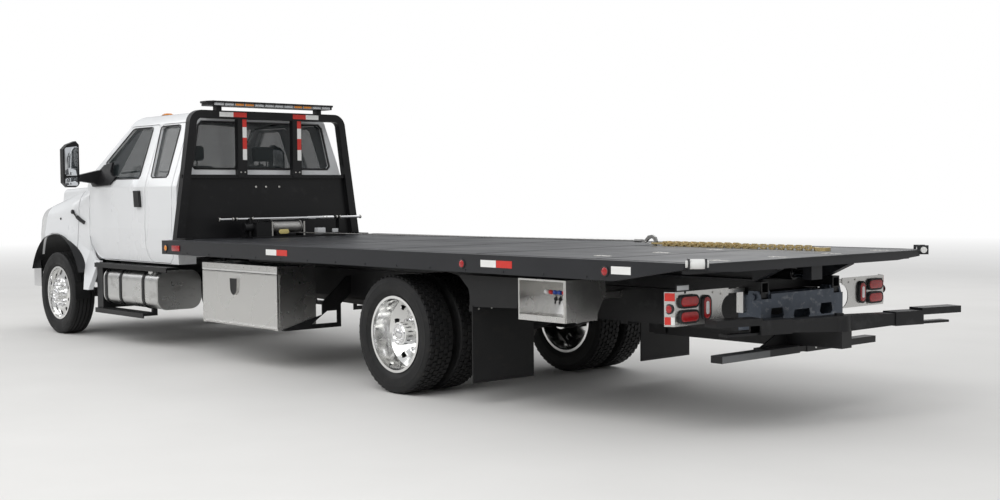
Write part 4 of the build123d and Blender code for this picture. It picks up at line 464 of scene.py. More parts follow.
def make_finishes(look):
    """Every finish of the vehicle, by the name of its slot or of its own, and the wear on some of them, with
    a painted bluish sheen in the deck's top wear.
    """
    white = tuple(look.paint)
    black = tuple(look.black)
    red = tuple(look.tape_red)
    finish_of("white_paint", white, 0.3, coat=0.8, mottle=0.02, patch=1.5, relief=0.03, grain=900)
    wear("white_paint", tuple(c * 0.86 for c in white), 0.45, (0.56, 0.8, 0.5), (1, 1, 0.6), 3)
    finish_of("black_paint", black, 0.34, mottle=0.3, patch=3, relief=0.12, grain=700, shine=0.3)
    wear("black_paint", (0.03, 0.03, 0.03), 0.6, (0.58, 0.78, 0.5), (1, 1, 1), 9)
    finish_of("deck_paint", tuple(look.deck), 0.4, mottle=0.25, patch=2.2, uneven=0.08, relief=0.16,
              grain=420,
              shine=0.4)
    # Lighter bluish streaks on the deck's top only: scuff wear and a painted sky sheen in one
    wear("deck_paint", (0.07, 0.075, 0.085), 0.45, (0.48, 0.72, 0.8), (0.7, 9, 1), 4,
         above=DECK_TOP / 1000 - 0.004)
    finish_of("frame_paint", black, 0.42, mottle=0.3, patch=4, relief=0.2, grain=350, shine=0.35)
    wear("frame_paint", (0.05, 0.05, 0.052), 0.6, (0.55, 0.75, 0.6), (1, 1, 1), 7)
    finish_of("worn_steel", (0.085, 0.1, 0.125), 0.4, metal=0.75, mottle=0.35, patch=9, relief=0.4, grain=90,
              depth=0.001)
    wear("worn_steel", (0.3, 0.31, 0.33), 0.35, (0.54, 0.7, 0.6), (1, 1, 1.6), 13)
    finish_of("worn_foot", (0.16, 0.165, 0.17), 0.5, metal=0.6, mottle=0.3, patch=11, relief=0.4, grain=120)
    finish_of("cast_metal", (0.07, 0.068, 0.066), 0.62, metal=0.4, mottle=0.3, patch=12, relief=0.5,
              grain=160,
              depth=0.0012)
    finish_of("stainless", (0.64, 0.635, 0.62), 0.27, metal=1, mottle=0.06, patch=2.5, grain=90,
              stretch=(2, 2, 45))
    finish_of("polished", (0.83, 0.83, 0.82), 0.13, metal=1, mottle=0.05, patch=20, uneven=0.05, relief=0.05)
    finish_of("tank_metal", (0.66, 0.66, 0.65), 0.3, metal=1, relief=0.12, grain=110, stretch=(1, 14, 14))
    wear("tank_metal", (0.34, 0.33, 0.31), 0.5, (0.56, 0.76, 0.55), (1, 1, 2), 6)
    finish_of("chrome", (0.8, 0.8, 0.81), 0.07, metal=1, mottle=0.04, patch=14, uneven=0.04, relief=0.03)
    finish_of("rope_steel", (0.36, 0.355, 0.345), 0.38, metal=0.9, mottle=0.25, patch=60, relief=0.5,
              grain=260,
              stretch=(1, 3, 3), depth=0.001)
    finish_of("chain_gold", (0.72, 0.56, 0.27), 0.3, metal=0.9, mottle=0.2, patch=30, relief=0.2, grain=400)
    finish_of("tyre_rubber", (0.01, 0.01, 0.0105), 0.6, mottle=0.3, patch=9, uneven=0.1, relief=0.25,
              grain=500,
              shine=0.3)
    wear("tyre_rubber", (0.045, 0.042, 0.038), 0.85, (0.52, 0.76, 0.5), (1, 1, 1), 14)
    finish_of("flap_rubber", (0.007, 0.007, 0.0075), 0.5, mottle=0.3, patch=7, relief=0.3, grain=260,
              shine=0.3)
    wear("flap_rubber", (0.04, 0.038, 0.034), 0.85, (0.55, 0.8, 0.5), (1, 1, 2), 5)
    finish_of("black_plastic", (0.009, 0.009, 0.01), 0.42, mottle=0.2, patch=10, relief=0.35, grain=650,
              shine=0.35)
    finish_of("seat_cloth", (0.11, 0.112, 0.118), 0.85, mottle=0.2, patch=40, relief=0.6, grain=900,
              depth=0.001)
    finish_of("window", (0.02, 0.028, 0.03), 0.04, patch=2, uneven=0.02, relief=0.01, grain=30,
              see_through=0.45)
    finish_of("mirror_glass", (0.7, 0.72, 0.74), 0.03, metal=1, mottle=0.03, patch=4, uneven=0.01,
              relief=0.01)
    finish_of("lamp_clear", (0.82, 0.84, 0.86), 0.08, mottle=0.05, patch=40, uneven=0.03, relief=0.25,
              grain=120,
              see_through=0.55)
    finish_of("lamp_red", (0.36, 0.007, 0.009), 0.16, mottle=0.35, patch=60, relief=0.6, grain=190, coat=0.4,
              depth=0.002)
    finish_of("lamp_amber", (0.8, 0.27, 0.02), 0.16, mottle=0.2, patch=60, relief=0.4, grain=220, coat=0.5)
    finish_of("roller_white", (0.78, 0.78, 0.76), 0.42, mottle=0.07, patch=18, relief=0.15, grain=200)
    finish_of("tape_white", (0.82, 0.82, 0.8), 0.38, mottle=0.04, patch=30, relief=0.35, grain=420)
    finish_of("tape_red", red, 0.36, mottle=0.1, patch=30, relief=0.35, grain=420)
    finish_of("seal_rubber", (0.014, 0.014, 0.015), 0.55, mottle=0.2, patch=20, relief=0.25, grain=400)
    finish_of("bright_bolt", (0.62, 0.61, 0.58), 0.32, metal=1, mottle=0.15, patch=60, relief=0.2, grain=500)
    finish_of("label_plate", (0.62, 0.52, 0.2), 0.5, mottle=0.15, patch=25, relief=0.2)
    finish_of("grey_box", (0.58, 0.59, 0.6), 0.45, patch=15, relief=0.2)
    finish_of("knob_white", (0.8, 0.8, 0.8), 0.3, mottle=0.04, patch=40, relief=0.05)
    finish_of("knob_red", (0.6, 0.03, 0.025), 0.3, mottle=0.1, patch=40, relief=0.05)
    finish_of("knob_blue", (0.03, 0.08, 0.38), 0.3, mottle=0.1, patch=40, relief=0.05)


# CAD nodes whose finish isn't that of their slot
NODE_FINISH = {"bumper": "chrome", "tail_frame": "worn_steel", "tail_lamps": "seal_rubber"}


class TowTruckSettings(PropertyGroup):
    """Sizes and colours of the truck's fittings."""
    paint: FloatVectorProperty(name="Cab paint", description="Colour of the cab and hood", subtype="COLOR",
                               default=(0.8, 0.81, 0.82), min=0, max=1)
    black: FloatVectorProperty(name="Black paint", description="Colour of the headboard and frame",
                               subtype="COLOR", default=(0.006, 0.006, 0.0068), min=0, max=1)
    deck: FloatVectorProperty(name="Deck paint", description="Colour of the deck", subtype="COLOR",
                              default=(0.012, 0.0128, 0.0155), min=0, max=1)
    tape_red: FloatVectorProperty(name="Red tape", description="Colour of the red reflective tape",
                                  subtype="COLOR", default=(0.62, 0.03, 0.02), min=0, max=1)
    tape_height: FloatProperty(name="Tape height",
                               description="Height of the reflective tape on the deck's sides",
                               default=0.05, unit="LENGTH", min=0.02, max=0.08)
    seal: FloatProperty(name="Window seal", description="Thickness of the window seals", default=0.016,
                        unit="LENGTH", min=0.006, max=0.03)
    lug_rows: IntProperty(name="Tread blocks", description="Number of tread blocks round a tyre", default=54,
                          min=30, max=80)
    light: FloatProperty(name="Light", description="Strength of the sky on the vehicle", default=0.72,
                         min=0.1,
                         max=2)


class TOW_OT_finishes(Operator):
    """Gives every solid of the frame its finish"""
    bl_idname = "tow.finishes"
    bl_label = "Finishes"

    def execute(self, context):
        make_finishes(context.scene.tow_truck)
        for row in frame["record"]["subparts"]:
            node = frame["nodes"][row["node"]]
            finish = FINISH[NODE_FINISH.get(row["node"], row["material_slot"])]
            if not node.material_slots:
                node.data.materials.append(finish)
            for slot in node.material_slots:
                slot.material = finish
        return {"FINISHED"}


# Tyres and wheels
TREAD_HALF = 108
BLOCK_DEPTH = 9
RIB_DEPTH = 1.6
GROOVES = (-66, -22, 22, 66)
# From the tyre's middle, radius
WALL = [(94, 286.2), (95, 301), (104, 312), (113, 326), (119, 340), (120.5, 344), (122.5, 344), (124, 352),
        (126, 372), (127, 392), (126.5, 404), (127.3, 407), (127.2, 411), (125.4, 414), (124, 428),
        (121, 440),
        (117, 447)]
# Middle, width, turn in degrees, and share of the pitch that the row is turned on by
BLOCK_ROWS = [(-88, 38, 14, 0), (-44, 36, -12, 0.5), (0, 36, 12, 0), (44, 36, -12, 0.5), (88, 38, -14, 0)]
RIB_ROWS = [(-92, 30, 0, 0), (92, 30, 0, 0)]
FRONT_TYRE_Y = 1022
REAR_TYRES_Y = (767, 1087)
LUG_CIRCLE = 142.9
LUG_NUTS = 10


def carcass(tread_depth):
    """Profile of a tyre with raised rings on its walls and grooves round its tread."""
    wall = WALL + [(TREAD_HALF + 2, 456 - tread_depth * 0.5)]
    tread = []
    for g in GROOVES:
        crown = TYRE_RADIUS - tread_depth - 3.5 * (g / TREAD_HALF) ** 2
        low = crown - 13 + tread_depth
        tread += [(g - 5, crown), (g - 3.5, low), (g + 3.5, low), (g + 5, crown)]
    return [(-a, r) for a, r in wall] + tread + wall[::-1]


def tyre(x, y, blocks, count):
    """One tyre: a rib tread, or one of blocks."""
    centre = (x, y, AXLE_Z)
    rows, depth, share = (BLOCK_ROWS, BLOCK_DEPTH, 0.74) if blocks else (RIB_ROWS, RIB_DEPTH, 0.9)
    parts = [spun(carcass(BLOCK_DEPTH if blocks else 0), centre, steps=72)]
    reach = pi * TYRE_RADIUS / count * share
    for middle, width, turn, phase in rows:
        top = AXLE_Z + TYRE_RADIUS - 3.2 * (middle / TREAD_HALF) ** 2
        row = block((x - reach, y + middle - width / 2, top - depth - 8),
                    (x + reach, y + middle + width / 2, top),
                    1.6, 1, (0, 0, turn))
        parts.append(ringed(turned(row, 360 * phase / count, "Y", centre), centre, "Y", count))
    return joined(parts)


class TOW_OT_tyres(Operator):
    """Adds the tyres with their tread"""
    bl_idname = "tow.tyres"
    bl_label = "Tyres"

    def execute(self, context):
        count = context.scene.tow_truck.lug_rows
        for side, s in SIDES:
            done(tyre(WHEELBASE, s * FRONT_TYRE_Y, False, count + 20), "front_tyre_tread_" + side,
                 side + "_front_wheel", "tyre_rubber", angle=30, hides=["front_tyre_" + side])
            done([tyre(0, s * y, True, count) for y in REAR_TYRES_Y], "rear_tyre_tread_" + side,
                 side + "_rear_wheels", "tyre_rubber", angle=30, hides=["rear_tyres_" + side])
        return {"FINISHED"}


class TOW_OT_wheel_fittings(Operator):
    """Adds nut caps, and the rings, bolts and domes of the hubs"""
    bl_idname = "tow.wheel_fittings"
    bl_label = "Wheel fittings"

    def execute(self, context):
        for side, s in SIDES:
            for x, end, body, node in ((WHEELBASE, "front", "_front_wheel", "front_rim_"),
                                       (0, "rear", "_rear_wheels", "rear_rims_")):
                face = meet_side(node + side, x + LUG_CIRCLE + 22, AXLE_Z, s)[1]
                hub_face = meet_side(node + side, x + 70, AXLE_Z, s)[1]
                hub = (x, hub_face, AXLE_Z)
                nut = x + LUG_CIRCLE
                cap = joined([disc((nut, face + s * 22, AXLE_Z), "Y", 19.5, 48, 5, 6),
                              disc((nut, face + s * 3, AXLE_Z), "Y", 24, 10, 3, 18, 1)])
                ring = spun([(0, 62), (s * 5, 62), (s * 8, 66), (s * 8, 72), (s * 4, 76), (0, 76), (0, 62)],
                            hub,
                            steps=40)
                dome = spun([(0, 38), (s * 5, 37), (s * 10, 30), (s * 13, 16), (s * 14, 0)], hub)
                done([ringed(cap, hub, "Y", LUG_NUTS), ring, dome,
                      ringed(bolt((x + 50, hub_face + s * 3, AXLE_Z), "Y", 7, 8), hub, "Y", 8)],
                     end + "_wheel_caps_" + side, side + body, "chrome")
        return {"FINISHED"}


# Cab
FRONT_WINDOW = (through((5500, 1925), (5405, 1760), (5165, 1745)) + [(4660, 1745), (4640, 1770), (4640, 2240),
                (4650, 2262), (4680, 2268)] + through((5020, 2268), (5070, 2262), (5110, 2238)))
REAR_WINDOW = [(4380, 1765), (4350, 1750), (4060, 1750), (4035, 1775), (4048, 2240), (4060, 2262),
               (4085, 2270),
               (4420, 2270), (4446, 2262), (4452, 2240)]
BACK_WINDOW = [(-820, 1862), (-795, 1835), (795, 1835), (820, 1862), (738, 2262), (700, 2298), (-700, 2298),
               (-738, 2262)]
WINDSCREEN = [(-850, 1770), (-400, 1770), (0, 1770), (400, 1770), (850, 1770), (705, 2300), (400, 2325),
              (0, 2337),
              (-400, 2325), (-705, 2300)]
ROOF_LAMPS_X = 4940
ROOF_LAMPS_Y = (-500, -180, 0, 180, 500)
WIPERS = [(-740, -120), (-40, 640)]  # y from, y to
CAB_FLOOR = 1000
SEATS_Y = (-430, 430)


def seal_of(nodes, outline, s, thick, end=False):
    """Rubber bead round a window, laid on the nodes' surface seen from the vehicle's side or its end."""
    line = []
    for (a, b), (near_a, near_b) in zip(grown(outline, 7), grown(outline, 3)):
        if end:
            x = meet(nodes, (2000 if s < 0 else AHEAD, near_a, near_b), (-s, 0, 0))[0]
            line.append((x + s, a, b))
        else:
            line.append((a, meet_side(nodes, near_a, near_b, s)[1] + s, b))
    return rod(line, thick / 2, closed=True)


class TOW_OT_cab_trim(Operator):
    """Adds window seals, door locks, roof lamps and wipers"""
    bl_idname = "tow.cab_trim"
    bl_label = "Cab trim"

    def execute(self, context):
        thick = context.scene.tow_truck.seal * 1000
        for side, s in SIDES:
            for end, outline in (("front", FRONT_WINDOW), ("rear", REAR_WINDOW)):
                nodes = "{1}_door_{0} cab front_glass_{0} rear_glass_{0} front_door_{0}".format(side, end)
                done(seal_of(nodes, outline, s, thick), "%s_window_seal_%s" % (end, side),
                     "%s_%s_door" % (side, end), "black_plastic", "seal_rubber", 60)
            y = meet_side("front_door_" + side, 4640, 1500, s)[1]
            done(disc((4640, y + s * 1.5, 1500), "Y", 13, 5), "door_lock_" + side, side + "_front_door",
                 "chrome")
        done([seal_of("cab", BACK_WINDOW, -1, thick * 1.5, True),
              seal_of("cab", WINDSCREEN, 1, thick * 1.4, True)],
             "cab_window_seals", "chassis", "black_plastic", "seal_rubber", 60)
        lamps = []
        bases = []
        for y in ROOF_LAMPS_Y:
            x, _, z = meet("cab", (ROOF_LAMPS_X - abs(y) * 0.05, y, 2900), (0, 0, -1))
            lamp = block((x - 62, y - 42, z - 4), (x + 52, y + 42, z + 26), 12, 3)
            choose(lamp, lambda face, z=z: face.calc_center_median().z > (z + 20) / 1000)
            bpy.ops.transform.resize(value=(0.72, 0.8, 1))
            leave_edit()
            lamps.append(lamp)
            bases.append(block((x - 68, y - 48, z - 6), (x + 58, y + 48, z + 5), 3))
        done(lamps, "roof_lamps", "chassis", "lamp_clear", "lamp_amber")
        done(bases, "roof_lamp_bases", "chassis", "black_plastic")
        wipers = []
        for y0, y1 in WIPERS:
            blade = []
            for i in range(9):
                y = y0 + (y1 - y0) * i / 8
                z = 1812 + 26 * sin(pi * i / 8)
                blade.append((meet("cab_glass", (AHEAD, y, z), (-1, 0, 0))[0] + 16, y, z))
            x0 = meet("cab", (AHEAD, y0 + 60, 1700), (-1, 0, 0))[0]
            x, y, z = blade[4]
            wipers += [rod(blade, 11),
                       rod([(x0 + 6, y0 + 60, 1700), (x0 + 26, y0 + 130, 1740), (x + 12, y, z)], 6)]
        done(wipers, "wipers", "chassis", "black_plastic")
        return {"FINISHED"}


def cushion(low, high, crown, cuts):
    """Upholstered block, divided and then crowned by smoothing."""
    free()
    a = at(*low)
    b = at(*high)
    bpy.ops.mesh.primitive_cube_add(size=1, location=(a + b) / 2, scale=b - a)
    piece = settle(bpy.context.object)
    edit(piece, "EDGE")
    bpy.ops.mesh.bevel(offset=crown / 1000, segments=3)
    bpy.ops.mesh.select_all(action="SELECT")
    bpy.ops.mesh.subdivide(number_cuts=cuts)
    bpy.ops.mesh.vertices_smooth(factor=0.5, repeat=2)
    leave_edit()
    piece.modifiers.new("rounded", "SUBSURF").levels = 1
    pick(piece)
    bpy.ops.object.modifier_apply(modifier="rounded")
    return piece


class TOW_OT_seats(Operator):
    """Adds the upholstered seats and the rear bench, on their bases"""
    bl_idname = "tow.seats"
    bl_label = "Seats"

    def execute(self, context):
        parts = []
        for y in SEATS_Y:
            back = cushion((4540, y - 245, 1300), (4655, y + 245, 1880), 40, 3)
            parts += [cushion((4525, y - 250, 1175), (4975, y + 250, 1318), 40, 3),
                      settle(turned(back, 9, "Y", (4600, y, 1310)))]
            parts += [cushion((4905, y + w - 32, 1240), (4560, y + w + 32, 1330), 22, 1) for w in (-215, 215)]
            parts.append(cushion((4462, y - 125, 1925), (4552, y + 125, 2085), 35, 2))
            parts += [disc((4500, y + w, 1905), "Z", 7, 60, 1, 10) for w in (-45, 45)]
        parts.append(cushion((3910, -790, 1180), (4215, 790, 1325), 40, 4))
        bases = [block((4570, y - 190, CAB_FLOOR), (4930, y + 190, 1180), 8) for y in SEATS_Y]
        bases.append(block((3905, -780, CAB_FLOOR), (4200, 780, 1184), 8))
        done(bases, "seat_bases", "chassis", "black_plastic")
        seats = done(parts, "cab_seats", "chassis", "seat_cloth", angle=60, hides=["seats"])
        return {"FINISHED"}


MIRROR_X = 5567
MIRROR_GLASSES = [(1782, 2098), (1672, 1768)]  # z from, z to


class TOW_OT_mirror_glass(Operator):
    """Adds the mirror glasses with their rims"""
    bl_idname = "tow.mirror_glass"
    bl_label = "Mirror glass"

    def execute(self, context):
        for side, s in SIDES:
            plates = []
            rims = []
            for low, high in MIRROR_GLASSES:
                outline = [(s * 1232, low + 14), (s * 1246, low), (s * 1360, low), (s * 1378, low + 16),
                           (s * 1378, high - 30), (s * 1360, high - 14), (s * 1246, high),
                           (s * 1232, high - 12)]
                plates.append(slab(outline, "YZ", MIRROR_X - 0.5, 4, 1))
                rims.append(rod([(MIRROR_X, a, b) for a, b in grown(outline, 4)], 4.5, closed=True))
            done(plates, "mirror_glass_" + side, side + "_front_door", "chrome", "mirror_glass")
            done(rims, "mirror_rims_" + side, side + "_front_door", "black_plastic")
        return {"FINISHED"}


# Front end
GRILLE = rectangle(-478, 478, 977, 1298)  # y and z of its surround
LAMP_Z = 1145
BOWLS = [(600, 52), (725, 46)]  # y, radius
LATCH_KNOB = (6030, 1385)  # x, z
LATCH_NECK = (5985, 1345)
LATCH_FOOT = (5850, 1262)
HOOD_BUMPER = (6290, 1305)
ARCH_RADIUS = 676.5
ARCH_FROM = 22  # degrees over the level, behind the wheel
ARCH_TURN = 136
TOW_EYES_Y = 470


def arch_shade_sheet(s):
    """Black curved plate inside the fender over a front wheel: painted shade, a dark sheet where the arch's
    inside lies in shadow.
    """
    centre = at(WHEELBASE, 0, AXLE_Z)
    start = centre + Vector((-cos(radians(ARCH_FROM)), 0, sin(radians(ARCH_FROM)))) * ARCH_RADIUS / 1000
    shade_sheet = trace([start + Vector((0, s * y / 1000, 0)) for y in (648, 900, 1172)])
    edit(shade_sheet, "VERT")
    bpy.ops.mesh.spin(steps=28, angle=-radians(ARCH_TURN), center=centre, axis=WAY["Y"])
    bpy.ops.mesh.select_all(action="SELECT")
    bpy.ops.mesh.remove_doubles(threshold=0.00002)
    bpy.ops.mesh.solidify(thickness=0.0015)
    leave_edit()
    return shade_sheet


def hood_latch(s):
    """Rubber strap with its knob on the hood and its foot on the cowl."""
    (x0, y0, z0), (x1, y1, _), (x2, y2, z2) = (meet_side(nodes, *place, s) for nodes, place in (
        ("hood cab", LATCH_KNOB), ("hood cab", LATCH_NECK), ("cab hood", LATCH_FOOT)))
    return [disc((x0, y0 + s * 14, z0), "Y", 24, 22, 6, 20, 3),
            rod([(x0, y0 + s * 12, z0), (x1, y1 + s * 14, LATCH_NECK[1]), (5950, y1 + s * 14, 1325)], 9),
            rod([(5958, y1 + s * 9, 1330), (5905, (y1 + y2) / 2 + s * 13, 1297), (x2, y2 + s * 6, z2)], 20)]


class TOW_OT_front(Operator):
    """Adds grille and lamp fittings, hood latches and bumpers, black sheets of painted shade in the wheel
    arches, fender flaps and tow eyes
    """
    bl_idname = "tow.front"
    bl_label = "Front end"

    def execute(self, context):
        mesh = [block((7216, -452, z - 1.5), (7220, 452, z + 1.5), 0.6, 1) for z in range(1004, 1276, 18)]
        mesh.append(placed(block((7219, -1.5, 992), (7222, 1.5, 1282), 0.6, 1),
                           [(0, i * 20, 0) for i in range(-22, 23)]))
        done(mesh, "grille_mesh", "hood_assembly", "black_plastic")
        surround = [(meet("hood grille", (AHEAD, a, b), (-1, 0, 0))[0] + 2, a, b) for a, b in GRILLE]
        done(rod(surround, 9, closed=True), "grille_surround", "hood_assembly", "chrome", angle=60)
        for side, s in SIDES:
            x = meet("headlamps", (AHEAD, s * 640, LAMP_Z), (-1, 0, 0))[0]
            bowls = [spun([(0.4, r), (3.2, r - 2), (2.2, r - 8), (0.8, r * 0.45), (2.4, r * 0.3), (2.8, 0)],
                          (x, s * y, LAMP_Z), "X") for y, r in BOWLS]
            done(bowls, "lamp_bowls_" + side, "hood_assembly", "chrome")
            bezel = rod([(x + 1.5, a, b) for a, b in oval(s * 685, LAMP_Z, 312, 172, 4)], 6, closed=True)
            done(bezel, "lamp_bezel_" + side, "hood_assembly", "black_plastic", angle=60)
            turn = slab(rectangle(s * 795, s * 832, 1078, 1212), "YZ", x + 0.3, 2.6, 1)
            done(turn, "turn_lamps_" + side, "hood_assembly", "lamp_clear", "lamp_amber")
            done(hood_latch(s), "hood_latch_" + side, "chassis", "black_plastic", angle=50)
            x, y, z = meet_side("hood", *HOOD_BUMPER, s)
            done(disc((x, y + s * 3, z), "Y", 13, 10, 2), "hood_bumper_" + side, "hood_assembly",
                 "black_plastic")
        # Black sheets in the front wheel arches: painted shade where the arches' insides lie in shadow
        done([arch_shade_sheet(s) for s in (-1, 1)], "arch_shade_sheets", "hood_assembly", "black_plastic")
        done([block((5868, s * 985, 415), (5875, s * 1160, 620), 2, 1) for s in (-1, 1)], "fender_flaps",
             "chassis",
             "flap_rubber")
        eyes = [spun([(y - 9, 20), (y - 9, 34), (y + 9, 34), (y + 9, 20), (y - 9, 20)], (7236, 0, 480),
                     steps=20)
                for y in (-TOW_EYES_Y, TOW_EYES_Y)]
        done(eyes, "tow_eyes", "chassis", "frame_paint")
        return {"FINISHED"}


# Deck
SIDE_TAPE_Z = 1062
SIDE_MARKS = [  # finish, x from, x to
    ("tape_red", 1350, 1515),
    ("tape_white", 1518, 1685),
    ("tape_white", -1152, -1315),
    ("tape_red", -1318, -1482),
    ("tape_white", -2420, -2590),
]
SIDE_LAMPS = [  # finish, x, round or long
    ("lamp_amber", 3490, True),
    ("lamp_red", 3290, False),
    ("lamp_red", -948, True),
    ("lamp_red", -2366, True),
]
SIDE_LAMP_RADIUS = 27
SEAM_X = (-2200, -1000, 180, 1400, 2600)
KEYHOLES_X = (-2942, -1932)
KEYHOLES_Y = (-900, -300, 300, 900)


def done_groups(groups, name, body, slot):
    """One piece for each finish of the groups."""
    for finish, pieces in groups.items():
        done(pieces, name + finish, body, slot, finish)


class TOW_OT_deck_marks(Operator):
    """Adds the deck's reflective tape, side lamps, weld seams, keyhole rims and bolts"""
    bl_idname = "tow.deck_marks"
    bl_label = "Deck marks"

    def execute(self, context):
        h = context.scene.tow_truck.tape_height * 500
        tapes = {}
        lamps = {}
        rings = []
        for s in (-1, 1):
            y = s * (DECK_HALF + 0.3)
            for finish, x0, x1 in SIDE_MARKS:
                tapes.setdefault(finish, []).append(
                    block((x0, y, SIDE_TAPE_Z - h), (x1, y + s * 1.2, SIDE_TAPE_Z + h), 0.5, 1))
            y = s * DECK_HALF
            for finish, x, is_round in SIDE_LAMPS:
                if is_round:
                    r = SIDE_LAMP_RADIUS
                    rings.append(spun([(0, r + 8), (s * 6, r + 8), (s * 9, r + 3), (s * 6, r - 1),
                                       (0, r - 1)],
                                      (x, y, 1052), steps=28))
                    lens = spun([(0, r), (s * 7, r - 1), (s * 11, r - 8), (s * 12, 0)], (x, y, 1052),
                                steps=28)
                else:
                    lens = block((x - 75, y, 1026), (x + 75, y + s * 10, 1080), 4)
                lamps.setdefault(finish, []).append(lens)
        done_groups(tapes, "deck_", "carrier_deck", "deck_paint")
        done_groups(lamps, "deck_", "carrier_deck", "lamp_red")
        done(rings, "deck_lamp_rings", "carrier_deck", "black_plastic", "seal_rubber")
        seams = [rod([(-2990, y, DECK_TOP + 0.6), (3560, y, DECK_TOP + 0.6)], 2.2) for y in (-1228, 1228)]
        seams += [rod([(x, -1226, DECK_TOP + 0.2), (x, 1226, DECK_TOP + 0.2)], 1.6) for x in SEAM_X]
        done(seams, "deck_seams", "carrier_deck", "deck_paint")
        rims = []
        for y in KEYHOLES_Y:
            for x in KEYHOLES_X:
                line = [(x - 111, y + 10.5)] + arc((x, y), 35.5, 165, -165, 16) + [(x - 111, y - 10.5)]
                rims.append(rod([(a, b, DECK_TOP + 0.6) for a, b in line], 2, closed=True))
        done(rims, "keyhole_rims", "carrier_deck", "deck_paint", "bright_bolt")
        head = bolt((0, DECK_HALF + 2, 0), "Y", 8, 5, 1.2)
        done(both(placed(head, [(x, 0, 1010) for x in range(-2200, 3500, 406)])), "deck_side_bolts",
             "carrier_deck",
             "deck_paint")
        return {"FINISHED"}


# Headboard and light bar
POSTS_Y = (333, -325)
POST_MARKS = [  # finish, z from, z to
    ("tape_red", 2250, 2384),
    ("tape_white", 2142, 2250),
    ("tape_red", 2026, 2142),
    ("tape_white", 1915, 2026),
]
BEAM_MARKS = [  # finish, y from, y to
    ("tape_white", 440, 600),
    ("tape_red", 285, 440),
    ("tape_red", -430, -270),
    ("tape_white", -590, -430),
]
BAR_MODULES = 12
AMBER_MODULES = (2, 3, 8, 9)
BAR_HALF = 640


def headboard_x(y, z):
    """Where the headboard's rear face is at y and z."""
    return meet("headboard", (3000, y, z), WAY["X"])[0]


class TOW_OT_headboard_marks(Operator):
    """Adds the headboard's tape and bolts"""
    bl_idname = "tow.headboard_marks"
    bl_label = "Headboard marks"

    def execute(self, context):
        marks = [(finish, headboard_x(y, 2000), y - 50, y - 2, z0, z1) for y in POSTS_Y
                 for finish, z0, z1 in POST_MARKS]
        marks += [(finish, headboard_x(0, 2370), y0, y1, 2348, 2396) for finish, y0, y1 in BEAM_MARKS]
        tapes = {}
        for finish, x, y0, y1, z0, z1 in marks:
            tapes.setdefault(finish, []).append(block((x - 1.6, y0, z0), (x - 0.3, y1, z1), 0.4, 1))
        done_groups(tapes, "headboard_", "carrier_deck", "black_paint")
        bolts = [bolt((headboard_x(y, 1800) - 3, y + w, 1790), "X", 9, 7, 1.5) for y in POSTS_Y
                 for w in (-24, 24)]
        bolts += [bolt((headboard_x(0, 1500) - 3, y, 1640), "X", 11, 6, 1.5, 16) for y in (-120, 40, 160)]
        done(bolts, "headboard_bolts", "carrier_deck", "black_paint", "bright_bolt")
        return {"FINISHED"}


class TOW_OT_light_bar(Operator):
    """Adds the lamp modules under the light bar's cover"""
    bl_idname = "tow.light_bar"
    bl_label = "Light bar"

    def execute(self, context):
        low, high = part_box("light_bar")
        rear = drawn(low)[0]
        front = drawn(high)[0]
        clear = []
        amber = []
        frames = []
        for i in range(BAR_MODULES):
            y = -BAR_HALF + i * 2 * BAR_HALF / (BAR_MODULES - 1)
            for edge, way in ((rear + 22, -1), (front - 22, 1)):
                lens = block((edge, y - 46, 2459), (edge + way * 9, y + 46, 2481), 3)
                (amber if i in AMBER_MODULES else clear).append(lens)
                frames.append(block((edge - way, y - 53, 2456), (edge + way * 4, y + 53, 2484), 1.5, 1))
        done(clear, "light_bar_clear", "carrier_deck", "black_plastic", "lamp_clear")
        done(amber, "light_bar_amber", "carrier_deck", "lamp_red", "lamp_amber")
        done(frames, "light_bar_frames", "carrier_deck", "chrome", "grey_box")
        screws = placed(bolt((0, 0, 0), "Z", 7, 5, sides=8),
                        [(x, y, 2500.5) for y in (-700, -350, 0, 350, 700) for x in (rear + 26, front - 26)])
        done(screws, "light_bar_screws", "carrier_deck", "black_plastic", "bright_bolt")
        return {"FINISHED"}


# Winch and rigging
WINCH_X = 3344
WINCH_Z = 1229
TENSION_BAR_Z = WINCH_Z + 88
ROPE_TURNS = 28
ROPE_PITCH = 11.4
SLEEVES = [(-895, -655), (-455, 405), (455, 585), (655, 795)]  # y from, y to
COLLARS_Y = (-905, -640, -600, -470, -430, 420, 600, 640, 790)
ROPE_FROM = (3300, -66, 1169.5)
ROPE_TO = (-872, -610, 1159)
ROPE_STEPS = 260
STEPS_A_TURN = 13
STRANDS = 3
STRAND_RADIUS = 2.4
STRAND_OFF = 4.2


